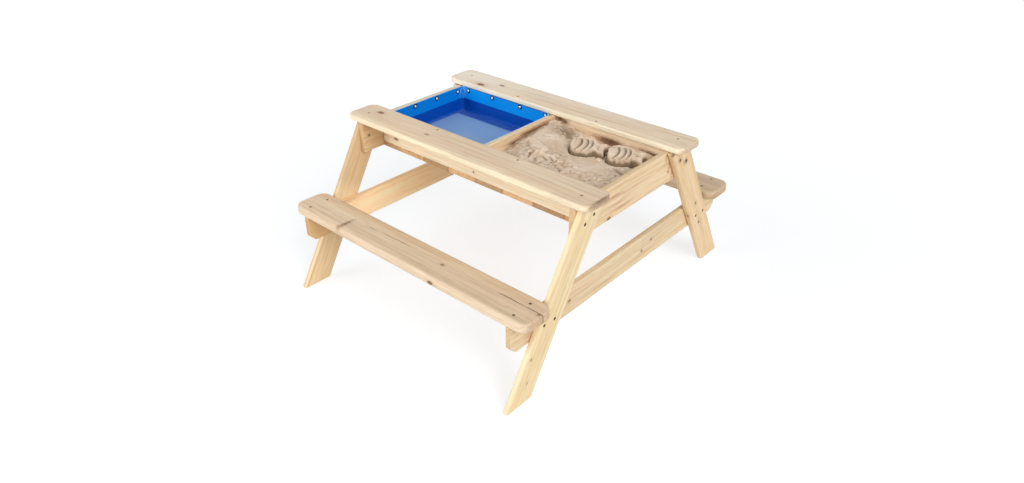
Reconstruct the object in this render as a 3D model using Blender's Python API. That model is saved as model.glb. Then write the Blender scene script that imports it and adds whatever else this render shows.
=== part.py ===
"""A child's picnic table with a water liner and a sand tray let into its top.

Metres, +Z up. X runs along the boards, Y across the table from the front seat to the
back seat. The origin is on the floor, under the middle of the table.
Every plank, screw, liner and filling is its own closed solid.
"""
import math

import bmesh
import bpy
from mathutils import Matrix, Vector

for old in list(bpy.data.objects):
    bpy.data.objects.remove(old, do_unlink=True)

# Fit
seat_gap = 0.0003          # left between pieces that touch
cut_overrun = 0.004        # how far a cutter runs past the face that it opens

# Stock
stock_thickness = 0.018    # table boards, legs, walls, aprons, rails and divider
seat_thickness = 0.028
floor_thickness = 0.014

# Heights
table_height = 0.500
seat_height = 0.276

# Tray
tray_length = 0.794        # between the end walls
tray_width = 0.340         # between the aprons
wall_height = 0.100

# Table boards
board_end_overhang = 0.0257    # past the outer faces of the legs
board_width = 0.109
board_overhang = 0.006     # over the inside of the apron
wall_setback = 0.008       # end walls run on past the aprons, this far short of the boards
board_corner = 0.027
board_arris = 0.004

# Tray floor
floor_board_width = 0.108
floor_joint = 0.0006
inner_floor_boards = 6     # of full width, with one cut board at each end
floor_arris = 0.0012

# Legs
leg_width = 0.0835         # square to its length
leg_spread = math.radians(30.7)
leg_head = 0.252           # front edge of a leg under the table board, from the middle
leg_arris = 0.005

# Seats and their rails
seat_end_overhang = 0.0277     # past the outer faces of the legs
seat_width = 0.112
seat_corner = 0.030
seat_arris = 0.006
rail_height = 0.083
rail_setback = 0.001       # rail end behind the seat's outer edge
rail_chamfer = 0.020       # cut off the lower corners of a rail
plank_arris = 0.003        # rails, walls, aprons and divider

# Water liner
liner_sheet = 0.0015
liner_corner = 0.009
water_depth = 0.042

# Sand
sand_depth = 0.055         # mean depth over the floor boards
sand_relief = 0.020
sand_cell = 0.011

# Castings turned out of a fish mould
fish_length = 0.110
fish_width = 0.084
fish_height = 0.025        # top of the crown over the sand round it
fish_dome = 0.009          # how much the top curves down to its edge
fish_groove = 0.0032
groove_radius = 0.040
fish_eye = 0.0045

# Countersunk wood screws
screw_shank = 0.0022
screw_head = 0.0043
leg_screw_head = 0.0052
screw_head_depth = 0.0028
screw_tip = 0.006
screw_sink = 0.0006        # head under the face of the wood
leg_screw_length = 0.031
board_screw_length = 0.040
seat_screw_length = 0.050

# Facets
corner_steps = 5
arris_steps = 2
screw_sides = 10
bevel_limit = math.radians(40)
smooth_limit = math.radians(35)

# Places of screws and castings, as shares of the piece that carries them
end_screw_share = 0.58           # across a table board, from its inner edge
middle_screw_share = 0.39        # along a half tray, from the middle of the table
seat_screw_shares = (0.25, 0.80)             # across a seat, from its inner edge
head_screw_shares = ((0.33, 0.66), (0.62, 0.52))    # across the leg, up the wall
rail_screw_shares = ((0.35, 0.49), (0.79, 0.51))    # across the leg, up the rail
fish_place_shares = ((0.496, 0.465), (0.800, 0.577))  # along and across the sand
fish_heading = math.radians(20)
fish_tilt = math.radians(7)   # crowns face the front a little

# Mounds and hollows: along the sand, across it, height by relief, radius by width
mound_shares = (
    (0.02, 0.74, 1.05, 0.34),
    (0.05, 0.10, 0.35, 0.30),
    (0.52, 1.00, -0.62, 0.20),
    (0.80, 1.00, 0.40, 0.16),
    (0.99, 0.90, -0.10, 0.12),
    (0.30, -0.60, 0.22, 0.26),
    (0.72, -0.75, -0.28, 0.30),
    (0.99, -0.30, 0.18, 0.24),
)

# Half outline of a fish, head at the low end: along its length, across its half width
fish_shares = (
    (-0.50, 0.00), (-0.48, 0.36), (-0.42, 0.66), (-0.32, 0.90), (-0.19, 1.00),
    (-0.05, 0.98), (0.07, 0.82), (0.15, 0.58), (0.21, 0.34), (0.28, 0.36),
    (0.38, 0.58), (0.47, 0.64), (0.50, 0.52), (0.46, 0.00),
)
groove_shares = (-0.486, -0.318, -0.191)     # middles of the grooves' arcs, along the fish
groove_span = math.radians(50)
eye_shares = (-0.345, 0.24)

# Worked out from the sizes above
board_under = table_height - stock_thickness
deck = board_under - seat_gap                # tops of legs, walls, aprons and divider
wall_under = deck - wall_height
floor_top = wall_under + floor_thickness
apron_under = floor_top + seat_gap
half_length = tray_length / 2
half_width = tray_width / 2
wall_centre = half_length + stock_thickness / 2
leg_centre = wall_centre + stock_thickness + seat_gap
leg_face = leg_centre + stock_thickness / 2
board_length = 2 * (leg_face + board_end_overhang)
seat_length = 2 * (leg_face + seat_end_overhang)
apron_centre = half_width + stock_thickness / 2
apron_face = half_width + stock_thickness
board_inner = half_width - board_overhang
wall_length = 2 * (board_inner + board_width - wall_setback)
board_centre = board_inner + board_width / 2
leg_run = math.tan(leg_spread)
leg_across = leg_width / math.cos(leg_spread)
seat_under = seat_height - seat_thickness
rail_top = seat_under - seat_gap
rail_under = rail_top - rail_height
crown_rise = 3 * fish_dome                 # half height of the ball whose top is a crown


def leg_front(z):
    """Distance of a leg's outer edge from the middle of the table at a height."""
    return leg_head + leg_run * (deck - z)


seat_inner = leg_front(seat_under) + seat_gap
seat_centre = seat_inner + seat_width / 2
rail_reach = seat_inner + seat_width - rail_setback

table = bpy.data.objects.new("picnic_table", None)
bpy.context.collection.objects.link(table)

planes = {
    "floor": Matrix.Identity(3),                                   # thickness upwards
    "end": Matrix(((0, 0, 1), (1, 0, 0), (0, 1, 0))),              # thickness along X
    "side": Matrix(((1, 0, 0), (0, 0, -1), (0, 1, 0))),            # thickness along Y
}


def finish(name, colour, roughness, metallic=0.0):
    """One Principled material."""
    material = bpy.data.materials.new(name)
    material.use_nodes = True
    shader = material.node_tree.nodes["Principled BSDF"]
    shader.inputs["Base Color"].default_value = (*colour, 1.0)
    shader.inputs["Roughness"].default_value = roughness
    shader.inputs["Metallic"].default_value = metallic
    return material


pine_top = finish("pine_top", (0.66, 0.52, 0.38), 0.62)
pine_frame = finish("pine_frame", (0.80, 0.64, 0.43), 0.60)
blue_liner = finish("blue_liner", (0.00, 0.24, 0.72), 0.35)
still_water = finish("still_water", (0.28, 0.42, 0.66), 0.05)
damp_sand = finish("damp_sand", (0.62, 0.47, 0.35), 0.95)
zinc_screw = finish("zinc_screw", (0.42, 0.38, 0.32), 0.35, 1.0)


def place(name, mesh, material, location, rotation=None):
    """Puts a mesh into the scene as one named piece of the table."""
    mesh.materials.append(material)
    mesh.shade_smooth()
    mesh.set_sharp_from_angle(angle=smooth_limit)
    piece = bpy.data.objects.new(name, mesh)
    bpy.context.collection.objects.link(piece)
    piece.parent = table
    piece.location = location
    if rotation is not None:
        piece.rotation_euler = rotation.to_euler()
    return piece


def round_corners(corners, radius, steps):
    """Outline of a convex shape whose corners are arcs of one radius."""
    outline = []
    count = len(corners)
    for index, corner in enumerate(corners):
        here = Vector(corner)
        back = (Vector(corners[index - 1]) - here).normalized()
        ahead = (Vector(corners[(index + 1) % count]) - here).normalized()
        half_angle = back.angle(ahead) / 2
        centre = here + (back + ahead).normalized() * (radius / math.sin(half_angle))
        first = here + back * (radius / math.tan(half_angle)) - centre
        last = here + ahead * (radius / math.tan(half_angle)) - centre
        turn = first.angle_signed(last)
        for step in range(steps + 1):
            spoke = first.copy()
            spoke.rotate(Matrix.Rotation(-turn * step / steps, 2))
            outline.append(centre + spoke)
    return outline


def rectangle(length, width):
    """Corners of a rectangle about its middle, anticlockwise."""
    a, b = length / 2, width / 2
    return [(-a, -b), (a, -b), (a, b), (-a, b)]


def slab(name, outline, thickness):
    """Closed mesh of an outline, given a thickness about its middle plane."""
    build = bmesh.new()
    ring = [build.verts.new((u, v, -thickness / 2)) for u, v in outline]
    face = build.faces.new(ring)
    raised = bmesh.ops.extrude_face_region(build, geom=[face])["geom"]
    lifted = [item for item in raised if isinstance(item, bmesh.types.BMVert)]
    bmesh.ops.translate(build, verts=lifted, vec=(0, 0, thickness))
    bmesh.ops.recalc_face_normals(build, faces=build.faces)
    mesh = bpy.data.meshes.new(name)
    build.to_mesh(mesh)
    build.free()
    return mesh


def ease(piece, radius, steps=arris_steps):
    """Rounds the arrises of a plank."""
    bevel = piece.modifiers.new("arris", "BEVEL")
    bevel.width = radius
    bevel.segments = steps
    bevel.limit_method = "ANGLE"
    bevel.angle_limit = bevel_limit
    return piece


def plank(name, outline, plane, location, material, arris, thickness=stock_thickness):
    """A board cut to an outline that lies flat, along the end or along the side."""
    piece = place(name, slab(name, outline, thickness), material, location, planes[plane])
    return ease(piece, arris)


def hide_guide(piece):
    """Keeps a cutter out of the finished table."""
    piece.hide_render = True
    piece.display_type = "WIRE"
    return piece


def join(piece, tool, operation):
    """Adds an exact Boolean to a piece."""
    boolean = piece.modifiers.new(tool.name, "BOOLEAN")
    boolean.operation = operation
    boolean.solver = "EXACT"
    boolean.object = tool


def turned(name, profile, sides):
    """Solid of a profile of radius and height turned about Z, on the axis at both ends."""
    build = bmesh.new()
    rings = []
    for radius, height in profile:
        spokes = [2 * math.pi * side / sides for side in range(sides)] if radius else [0.0]
        rings.append([build.verts.new((radius * math.cos(a), radius * math.sin(a), height))
                      for a in spokes])
    for lower, upper in zip(rings, rings[1:]):
        for side in range(sides):
            after = (side + 1) % sides
            corners = [lower[side % len(lower)], lower[after % len(lower)],
                       upper[after % len(upper)], upper[side % len(upper)]]
            build.faces.new(list(dict.fromkeys(corners)))
    bmesh.ops.recalc_face_normals(build, faces=build.faces)
    mesh = bpy.data.meshes.new(name)
    build.to_mesh(mesh)
    build.free()
    return mesh


def screw_profile(length, head, gap):
    """Point, shank and countersunk head of a wood screw, grown by a gap."""
    return [(0, -length - gap), (screw_shank + gap, -length + screw_tip - gap),
            (screw_shank + gap, -screw_head_depth - gap), (head + gap, -gap), (0, 0)]


def screw_hole_profile(length, head):
    """The hole that a sunk screw leaves, open above the face of the wood."""
    mouth = head + seat_gap
    shaft = screw_profile(length, head, seat_gap)[:-1]
    return shaft + [(mouth, screw_sink + cut_overrun), (0, screw_sink + cut_overrun)]


screw_meshes = {}


def drive_screw(name, point, inward, length, head, through):
    """Sinks a screw into a face at a point and opens its hole in every piece it goes through."""
    inward = Vector(inward)
    turn = Vector((0, 0, -1)).rotation_difference(inward).to_matrix()
    seat = Vector(point) + inward * screw_sink
    if length not in screw_meshes:
        screw_meshes[length] = turned("screw", screw_profile(length, head, 0), screw_sides)
        screw_meshes[length].materials.append(zinc_screw)
        screw_meshes[length].shade_smooth()
        screw_meshes[length].set_sharp_from_angle(angle=smooth_limit)
    screw = bpy.data.objects.new(name, screw_meshes[length])
    bpy.context.collection.objects.link(screw)
    screw.parent = table
    screw.location = seat
    screw.rotation_euler = turn.to_euler()
    hole_mesh = turned(name + "_hole", screw_hole_profile(length, head), screw_sides)
    hole = hide_guide(place(name + "_hole", hole_mesh, zinc_screw, seat, turn))
    for piece in through:
        join(piece, hole, "DIFFERENCE")


sides = (("left", -1), ("right", 1))
faces = (("front", -1), ("back", 1))

# End walls: the ends of the tray, which also carry the table boards
end_walls = {}
for side, x_sign in sides:
    end_walls[side] = plank(
        "end_wall_" + side, rectangle(wall_length, wall_height), "end",
        (x_sign * wall_centre, 0, deck - wall_height / 2), pine_frame, plank_arris)

# Aprons: the long walls of the tray, on the floor boards and between the end walls
aprons = {}
apron_height = deck - apron_under
inside_length = tray_length - 2 * seat_gap
for face, y_sign in faces:
    aprons[face] = plank(
        "tray_apron_" + face, rectangle(inside_length, apron_height), "side",
        (0, y_sign * apron_centre, apron_under + apron_height / 2), pine_frame, plank_arris)

# Divider between the water and the sand
divider = plank(
    "tray_divider", rectangle(tray_width - 2 * seat_gap, apron_height), "end",
    (0, 0, apron_under + apron_height / 2), pine_frame, plank_arris)

# Tray floor: boards across the tray, the outer two cut to what is left
full_run = inner_floor_boards * (floor_board_width + floor_joint)
cut_width = (inside_length - full_run - floor_joint) / 2
widths = [cut_width] + [floor_board_width] * inner_floor_boards + [cut_width]
floor_start = -inside_length / 2
for number, width in enumerate(widths, start=1):
    plank(
        "tray_floor_board_" + str(number), rectangle(width, 2 * apron_face), "floor",
        (floor_start + width / 2, 0, wall_under + floor_thickness / 2), pine_top,
        floor_arris, floor_thickness).modifiers["arris"].segments = 1
    floor_start += width + floor_joint

# Table boards
board_outline = round_corners(rectangle(board_length, board_width), board_corner, corner_steps)
table_boards = {}
for face, y_sign in faces:
    table_boards[face] = plank(
        "table_board_" + face, board_outline, "floor",
        (0, y_sign * board_centre, table_height - stock_thickness / 2), pine_top, board_arris)

# Seats
seat_outline = round_corners(rectangle(seat_length, seat_width), seat_corner, corner_steps)
seats = {}
for face, y_sign in faces:
    seats[face] = plank(
        "seat_" + face, seat_outline, "floor",
        (0, y_sign * seat_centre, seat_height - seat_thickness / 2), pine_top,
        seat_arris, seat_thickness)

# Seat rails, with their lower corners cut off
rail_outline = [
    (-rail_reach + rail_chamfer, rail_under), (rail_reach - rail_chamfer, rail_under),
    (rail_reach, rail_under + rail_chamfer), (rail_reach, rail_top),
    (-rail_reach, rail_top), (-rail_reach, rail_under + rail_chamfer)]
seat_rails = {}
for side, x_sign in sides:
    seat_rails[side] = plank(
        "seat_rail_" + side, rail_outline, "end", (x_sign * wall_centre, 0, 0),
        pine_frame, plank_arris)

# Legs: raked planks, cut level at the head and at the foot
legs = {}
for face, y_sign in faces:
    leg_outline = [
        (y_sign * leg_front(0), 0), (y_sign * leg_front(deck), deck),
        (y_sign * (leg_front(deck) - leg_across), deck),
        (y_sign * (leg_front(0) - leg_across), 0)]
    for side, x_sign in sides:
        legs[face, side] = plank(
            "leg_" + face + "_" + side, leg_outline, "end", (x_sign * leg_centre, 0, 0),
            pine_frame, leg_arris)

# Screws through the legs, two into the end wall and two into the seat rail
for face, y_sign in faces:
    for side, x_sign in sides:
        leg = legs[face, side]
        for group, shares, base, height, carrier in (
                ("head", head_screw_shares, wall_under, wall_height, end_walls[side]),
                ("rail", rail_screw_shares, rail_under, rail_height, seat_rails[side])):
            for number, (across_share, up_share) in enumerate(shares, start=1):
                z = base + up_share * height
                y = leg_front(z) - (1 - across_share) * leg_across
                drive_screw(
                    "leg_screw_" + face + "_" + side + "_" + group + "_" + str(number),
                    (x_sign * leg_face, y_sign * y, z), (-x_sign, 0, 0), leg_screw_length,
                    leg_screw_head, (leg, carrier))

# Screws down through the table boards, into the end walls and the aprons
for face, y_sign in faces:
    board = table_boards[face]
    for side, x_sign in sides:
        drive_screw(
            "board_screw_" + face + "_" + side + "_end",
            (x_sign * wall_centre, y_sign * (board_inner + end_screw_share * board_width),
             table_height), (0, 0, -1), board_screw_length, screw_head, (board, end_walls[side]))
        drive_screw(
            "board_screw_" + face + "_" + side + "_middle",
            (x_sign * middle_screw_share * half_length, y_sign * apron_centre,
             table_height), (0, 0, -1), board_screw_length, screw_head, (board, aprons[face]))

# Screws down through the seats into their rails
for face, y_sign in faces:
    for side, x_sign in sides:
        for number, share in enumerate(seat_screw_shares, start=1):
            drive_screw(
                "seat_screw_" + face + "_" + side + "_" + str(number),
                (x_sign * wall_centre, y_sign * (seat_inner + share * seat_width),
                 seat_height), (0, 0, -1), seat_screw_length, screw_head,
                (seats[face], seat_rails[side]))

# Water liner: an open tray of thick sheet that lines the left half
divider_face = stock_thickness / 2
well_length = half_length - divider_face - 2 * seat_gap
well_width = tray_width - 2 * seat_gap
well_centre = (half_length + divider_face) / 2
liner_floor = floor_top + seat_gap


def basin(name, inset, low, high, open_top):
    """Rounded tray shape, inset evenly from the liner's outside."""
    shape = rectangle(well_length - 2 * inset, well_width - 2 * inset)
    outline = round_corners(shape, liner_corner - inset, corner_steps)
    mesh = slab(name, outline, high - low)
    if open_top:
        build = bmesh.new()
        build.from_mesh(mesh)
        lid = [face for face in build.faces if face.normal.z > 0.5]
        bmesh.ops.delete(build, geom=lid, context="FACES_ONLY")
        build.to_mesh(mesh)
        build.free()
    return mesh


def round_foot(piece, radius):
    """Rounds only the edge between the floor and the walls of a basin."""
    mesh = piece.data
    weights = mesh.attributes.new("bevel_weight_edge", "FLOAT", "EDGE")
    low = min(vert.co.z for vert in mesh.vertices)
    for edge in mesh.edges:
        foot = all(mesh.vertices[index].co.z == low for index in edge.vertices)
        weights.data[edge.index].value = float(foot)
    bevel = piece.modifiers.new("foot", "BEVEL")
    bevel.width = radius
    bevel.segments = arris_steps
    bevel.limit_method = "WEIGHT"


liner = place(
    "water_liner", basin("water_liner", 0, liner_floor, deck, True), blue_liner,
    (-well_centre, 0, (liner_floor + deck) / 2))
round_foot(liner, liner_corner)
shell = liner.modifiers.new("sheet", "SOLIDIFY")
shell.thickness = liner_sheet
shell.offset = -1
shell.use_even_offset = True

water_floor = liner_floor + liner_sheet + seat_gap
water_level = water_floor + water_depth
water_inset = liner_sheet + seat_gap
water = place(
    "water_fill", basin("water_fill", water_inset, water_floor, water_level, False),
    still_water, (-well_centre, 0, (water_floor + water_level) / 2))
round_foot(water, liner_corner - water_inset)


def sand_height(along, across):
    """Height of the sand over its mean at a place given by shares of the tray."""
    rise = 0.0
    for mound_along, mound_across, height, radius in mound_shares:
        run = (along - mound_along) * well_length
        side = (across - mound_across) * well_width / 2
        rise += height * math.exp(-(run ** 2 + side ** 2) / (radius * well_width) ** 2)
    return rise * sand_relief


def sand_mesh(name):
    """Sand filling: flat below and on its sides, with mounds and hollows on top."""
    columns = round(well_length / sand_cell)
    rows = round(well_width / sand_cell)
    build = bmesh.new()
    grid = []
    for column in range(columns + 1):
        along = column / columns
        line = []
        for row in range(rows + 1):
            across = 2 * row / rows - 1
            line.append(build.verts.new((
                (along - 0.5) * well_length, across * well_width / 2,
                sand_depth + sand_height(along, across))))
        grid.append(line)
    for column in range(columns):
        for row in range(rows):
            build.faces.new((grid[column][row], grid[column + 1][row],
                             grid[column + 1][row + 1], grid[column][row + 1]))
    rim = [edge for edge in build.edges if edge.is_boundary]
    skirt = bmesh.ops.extrude_edge_only(build, edges=rim)["geom"]
    for item in skirt:
        if isinstance(item, bmesh.types.BMVert):
            item.co.z = 0
    foot = [item for item in skirt if isinstance(item, bmesh.types.BMEdge)]
    bmesh.ops.contextual_create(build, geom=foot)
    bmesh.ops.recalc_face_normals(build, faces=build.faces)
    mesh = bpy.data.meshes.new(name)
    build.to_mesh(mesh)
    build.free()
    return mesh


def fish_outline():
    """Both halves of the fish, in real sizes."""
    upper = [(u * fish_length, v * fish_width / 2) for u, v in fish_shares]
    lower = [(u, -v) for u, v in reversed(upper[1:-1])]
    return list(reversed(upper + lower))


def groove_mesh(name):
    """Bent bar that presses one curved groove into the casting's crown."""
    build = bmesh.new()
    rings = []
    for step in range(2 * corner_steps + 1):
        angle = groove_span * (step / corner_steps - 1)
        spoke = Vector((math.cos(angle), math.sin(angle), 0))
        rings.append([build.verts.new(spoke * (groove_radius + offset) + Vector((0, 0, lift)))
                      for offset, lift in ((-fish_groove / 2, fish_groove),
                                           (0, -fish_groove), (fish_groove / 2, fish_groove))])
    for near, far in zip(rings, rings[1:]):
        for corner in range(3):
            after = (corner + 1) % 3
            build.faces.new((near[corner], near[after], far[after], far[corner]))
    build.faces.new(rings[0])
    build.faces.new(rings[-1])
    bmesh.ops.recalc_face_normals(build, faces=build.faces)
    mesh = bpy.data.meshes.new(name)
    build.to_mesh(mesh)
    build.free()
    return mesh


def crown_mesh(name):
    """Flattened ball whose upper side is the crown of a casting."""
    build = bmesh.new()
    bmesh.ops.create_uvsphere(build, u_segments=24, v_segments=16, radius=1)
    size = Vector((fish_length, fish_width, crown_rise))
    for vert in build.verts:
        vert.co = Vector(a * b for a, b in zip(vert.co, size))
    mesh = bpy.data.meshes.new(name)
    build.to_mesh(mesh)
    build.free()
    return mesh


sand = place("sand_fill", sand_mesh("sand_fill"), damp_sand,
             (well_centre, 0, floor_top + seat_gap))
sand_floor = floor_top + seat_gap
fish_turn = Matrix.Rotation(fish_heading, 3, "Z")
crown_turn = fish_turn @ Matrix.Rotation(fish_tilt, 3, "X")
for number, (along, across) in enumerate(fish_place_shares, start=1):
    label = "fish_" + str(number)
    crown_top = sand_floor + sand_depth + sand_height(along, across) + fish_height
    spot = Vector((well_centre + (along - 0.5) * well_length, across * well_width / 2, 0))
    body_height = fish_height + sand_relief
    fish = hide_guide(place(
        label, slab(label, fish_outline(), body_height), damp_sand,
        spot + Vector((0, 0, crown_top - body_height / 2)), fish_turn))
    crown_spot = spot + Vector((0, 0, crown_top - crown_rise))
    crown = hide_guide(place(
        label + "_crown", crown_mesh(label + "_crown"), damp_sand, crown_spot, crown_turn))
    join(fish, crown, "INTERSECT")
    for ring, share in enumerate(groove_shares, start=1):
        groove = hide_guide(place(
            label + "_groove_" + str(ring), groove_mesh(label + "_groove_" + str(ring)),
            damp_sand, crown_spot + crown_turn @ Vector((share * fish_length, 0, crown_rise)),
            crown_turn))
        join(fish, groove, "DIFFERENCE")
    eye_place = Vector((eye_shares[0] * fish_length, eye_shares[1] * fish_width / 2, crown_rise))
    eye_profile = [(0, -fish_eye), (fish_eye, 0), (fish_eye, cut_overrun), (0, cut_overrun)]
    eye = hide_guide(place(
        label + "_eye", turned(label + "_eye", eye_profile, screw_sides), damp_sand,
        crown_spot + crown_turn @ eye_place, crown_turn))
    join(fish, eye, "DIFFERENCE")
    join(sand, fish, "UNION")

print("pieces:", sum(not item.hide_render for item in bpy.data.objects) - 1)
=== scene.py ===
import math

import bmesh
import bpy
import numpy as np
from mathutils import Matrix, Vector


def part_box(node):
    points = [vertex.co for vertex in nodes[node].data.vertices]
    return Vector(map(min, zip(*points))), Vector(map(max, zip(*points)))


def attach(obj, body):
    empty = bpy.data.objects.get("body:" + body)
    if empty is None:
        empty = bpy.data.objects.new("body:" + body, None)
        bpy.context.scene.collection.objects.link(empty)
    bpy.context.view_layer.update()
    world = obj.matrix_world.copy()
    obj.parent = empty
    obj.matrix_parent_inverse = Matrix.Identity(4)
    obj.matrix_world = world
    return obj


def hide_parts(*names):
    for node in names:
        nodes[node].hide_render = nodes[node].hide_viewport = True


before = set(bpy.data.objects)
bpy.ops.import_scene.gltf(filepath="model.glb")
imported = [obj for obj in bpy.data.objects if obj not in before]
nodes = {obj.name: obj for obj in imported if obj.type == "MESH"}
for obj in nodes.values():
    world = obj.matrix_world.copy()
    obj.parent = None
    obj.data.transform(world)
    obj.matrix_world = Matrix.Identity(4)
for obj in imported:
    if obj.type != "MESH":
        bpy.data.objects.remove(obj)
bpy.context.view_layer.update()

print("frame loaded:", len(nodes), "nodes")


# Node building: a finish makes shader nodes, a signal is one socket that can be reckoned with
def addNode(tree, kind, settings=None, sockets=None):
    made = tree.nodes.new(kind)
    for key, value in (settings or {}).items():
        setattr(made, key, value)
    for key, value in (sockets or {}).items():
        if isinstance(value, bpy.types.NodeSocket):
            tree.links.new(value, made.inputs[key])
        else:
            made.inputs[key].default_value = value
    return made


def reckoned(operation, turned=False):
    # a method for one operator, or for its reflected form
    def method(self, other):
        pair = (other, self) if turned else (self, other)
        return self.finish.node("Math", {"operation": operation}, dict(enumerate(pair)))
    return method


class Signal:
    def __init__(self, finish, socket):
        self.finish = finish
        self.socket = socket

    def math(self, operation, *others, clamp=False):
        inputs = dict(enumerate((self,) + others))
        return self.finish.node("Math", {"operation": operation, "use_clamp": clamp}, inputs)

    __add__ = __radd__ = reckoned("ADD")
    __mul__ = __rmul__ = reckoned("MULTIPLY")
    __sub__, __rsub__ = reckoned("SUBTRACT"), reckoned("SUBTRACT", True)
    __truediv__, __rtruediv__ = reckoned("DIVIDE"), reckoned("DIVIDE", True)

    def clamped(self):
        return self.math("ADD", 0.0, clamp=True)

    def bell(self):  # 1 at zero, fading to 0 on both sides
        return (self.math("POWER", 2.0) * -1.0).math("EXPONENT")

    def step(self, low, high):  # smooth rise from 0 at low to 1 at high
        settings = {"interpolation_type": "SMOOTHSTEP"}
        return self.finish.node("MapRange", settings, {
            "Value": self, "From Min": low, "From Max": high})

    def stepAt(self, middle, fade):  # the same rise, round its middle
        return self.step(middle - fade, middle + fade)


class Finish:
    def __init__(self, name, holder=None):
        self.holder = holder or bpy.data.materials.new(name)  # a material, or the world
        self.holder.use_nodes = True
        self.tree = self.holder.node_tree
        self.tree.nodes.clear()

    def node(self, kind, settings=None, sockets=None, out=0):
        plain = {key: value.socket if isinstance(value, Signal) else value
                 for key, value in (sockets or {}).items()}
        made = addNode(self.tree, "ShaderNode" + kind, settings, plain)
        return Signal(self, made.outputs[out])

    def blend(self, factor, first, second, how="MIX"):
        return self.node("Mix", {"data_type": "RGBA", "blend_type": how}, {
            "Factor": factor, 6: first, 7: second}, out=2)

    def ramp(self, value, stops):
        ramped = self.node("ValToRGB", {}, {0: value})
        elements = ramped.socket.node.color_ramp.elements
        elements.remove(elements[1])
        elements[0].position, elements[0].color = stops[0]
        for place, colour in stops[1:]:
            elements.new(place).color = colour
        return ramped

    def noise(self, where, scale, detail=2.0, rough=0.5):
        return self.node("TexNoise", {}, {
            "Vector": where, "Scale": scale, "Detail": detail, "Roughness": rough})

    def vector(self, operation, first, second=None, out=0):
        values = {0: first} if second is None else {0: first, 1: second}
        return self.node("VectorMath", {"operation": operation}, values, out)

    def stretch(self, where, factors):
        return self.vector("MULTIPLY", where, factors)

    def grown(self, where, factors, detail=2.0, rough=0.5):  # noise stretched by its waves a metre
        return self.noise(self.stretch(where, factors), 1.0, detail, rough)

    def away(self, where, place, reaches):  # distance from a place, 1 at its reaches
        offset = self.stretch(self.vector("SUBTRACT", where, place),
                              [1 / reach for reach in reaches])
        return self.vector("LENGTH", offset, out=1)

    def split(self, vector):
        parts = self.node("SeparateXYZ", {}, {0: vector}).socket.node
        return [Signal(self, output) for output in parts.outputs]

    def coords(self):  # the piece's own coordinates, in metres
        return self.node("TexCoord", out=3)

    def facing(self):
        return self.node("TexCoord", out=1)

    def seen(self):  # 1 for what the camera sees, straight or in a glossy surface
        rays = self.node("LightPath").socket.node.outputs
        camera, glossy = (Signal(self, rays["Is %s Ray" % kind]) for kind in ("Camera", "Glossy"))
        return (camera + glossy).clamped()

    def bump(self, height, strength, distance):
        return self.node("Bump", {}, {
            "Height": height, "Strength": strength, "Distance": distance})

    def show(self, shader):
        place = "World" if isinstance(self.holder, bpy.types.World) else "Material"
        output = self.tree.nodes.new("ShaderNodeOutput" + place)
        self.tree.links.new(shader.socket, output.inputs["Surface"])
        return self.holder

    def surface(self, sockets):
        return self.show(self.node("BsdfPrincipled", {}, sockets))

    def matt(self, look, colour, roughness, height):  # with the look's gloss and relief
        return self.surface({
            "Base Color": colour, "Roughness": roughness, "Specular IOR Level": look["specular"],
            "Normal": self.bump(height, look["reliefStrength"], look["relief"])})


def rgb(red, green, blue):
    return (red, green, blue, 1.0)


def tinted(tone, tint):
    return rgb(*[min(channel * share, 1.0) for channel, share in zip(tone[:3], tint)])


# Laying pieces on the frame
def corners(node):
    return [Vector(corner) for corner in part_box(node)]


def settle(piece, *replaced, slot):
    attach(piece, "root")
    if replaced:
        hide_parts(*replaced)
    return piece


def bringIn(name, data):
    made = bpy.data.objects.new(name, data)
    bpy.context.scene.collection.objects.link(made)
    return made


def shadeSmooth(mesh, angle):
    mesh.shade_smooth()
    mesh.set_sharp_from_angle(angle=math.radians(angle))


def meshFrom(name, build, material, smooth=50):
    bmesh.ops.recalc_face_normals(build, faces=build.faces)
    mesh = bpy.data.meshes.new(name)
    build.to_mesh(mesh)
    build.free()
    shadeSmooth(mesh, smooth)
    mesh.materials.append(material)
    return bringIn(name, mesh)


def bridge(build, rings):
    # faces between each ring and the next; a ring can be one point
    for lower, upper in zip(rings, rings[1:]):
        count = max(len(lower), len(upper))
        for side in range(count):
            after = (side + 1) % count
            ring = [lower[side % len(lower)], lower[after % len(lower)],
                    upper[after % len(upper)], upper[side % len(upper)]]
            build.faces.new(list(dict.fromkeys(ring)))


def workIn(piece):
    # the modifiers' result becomes the piece's own mesh
    bpy.context.view_layer.update()
    evaluated = piece.evaluated_get(bpy.context.evaluated_depsgraph_get())
    plain = bpy.data.meshes.new_from_object(evaluated)
    piece.modifiers.clear()
    piece.data = plain
    return piece


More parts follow.
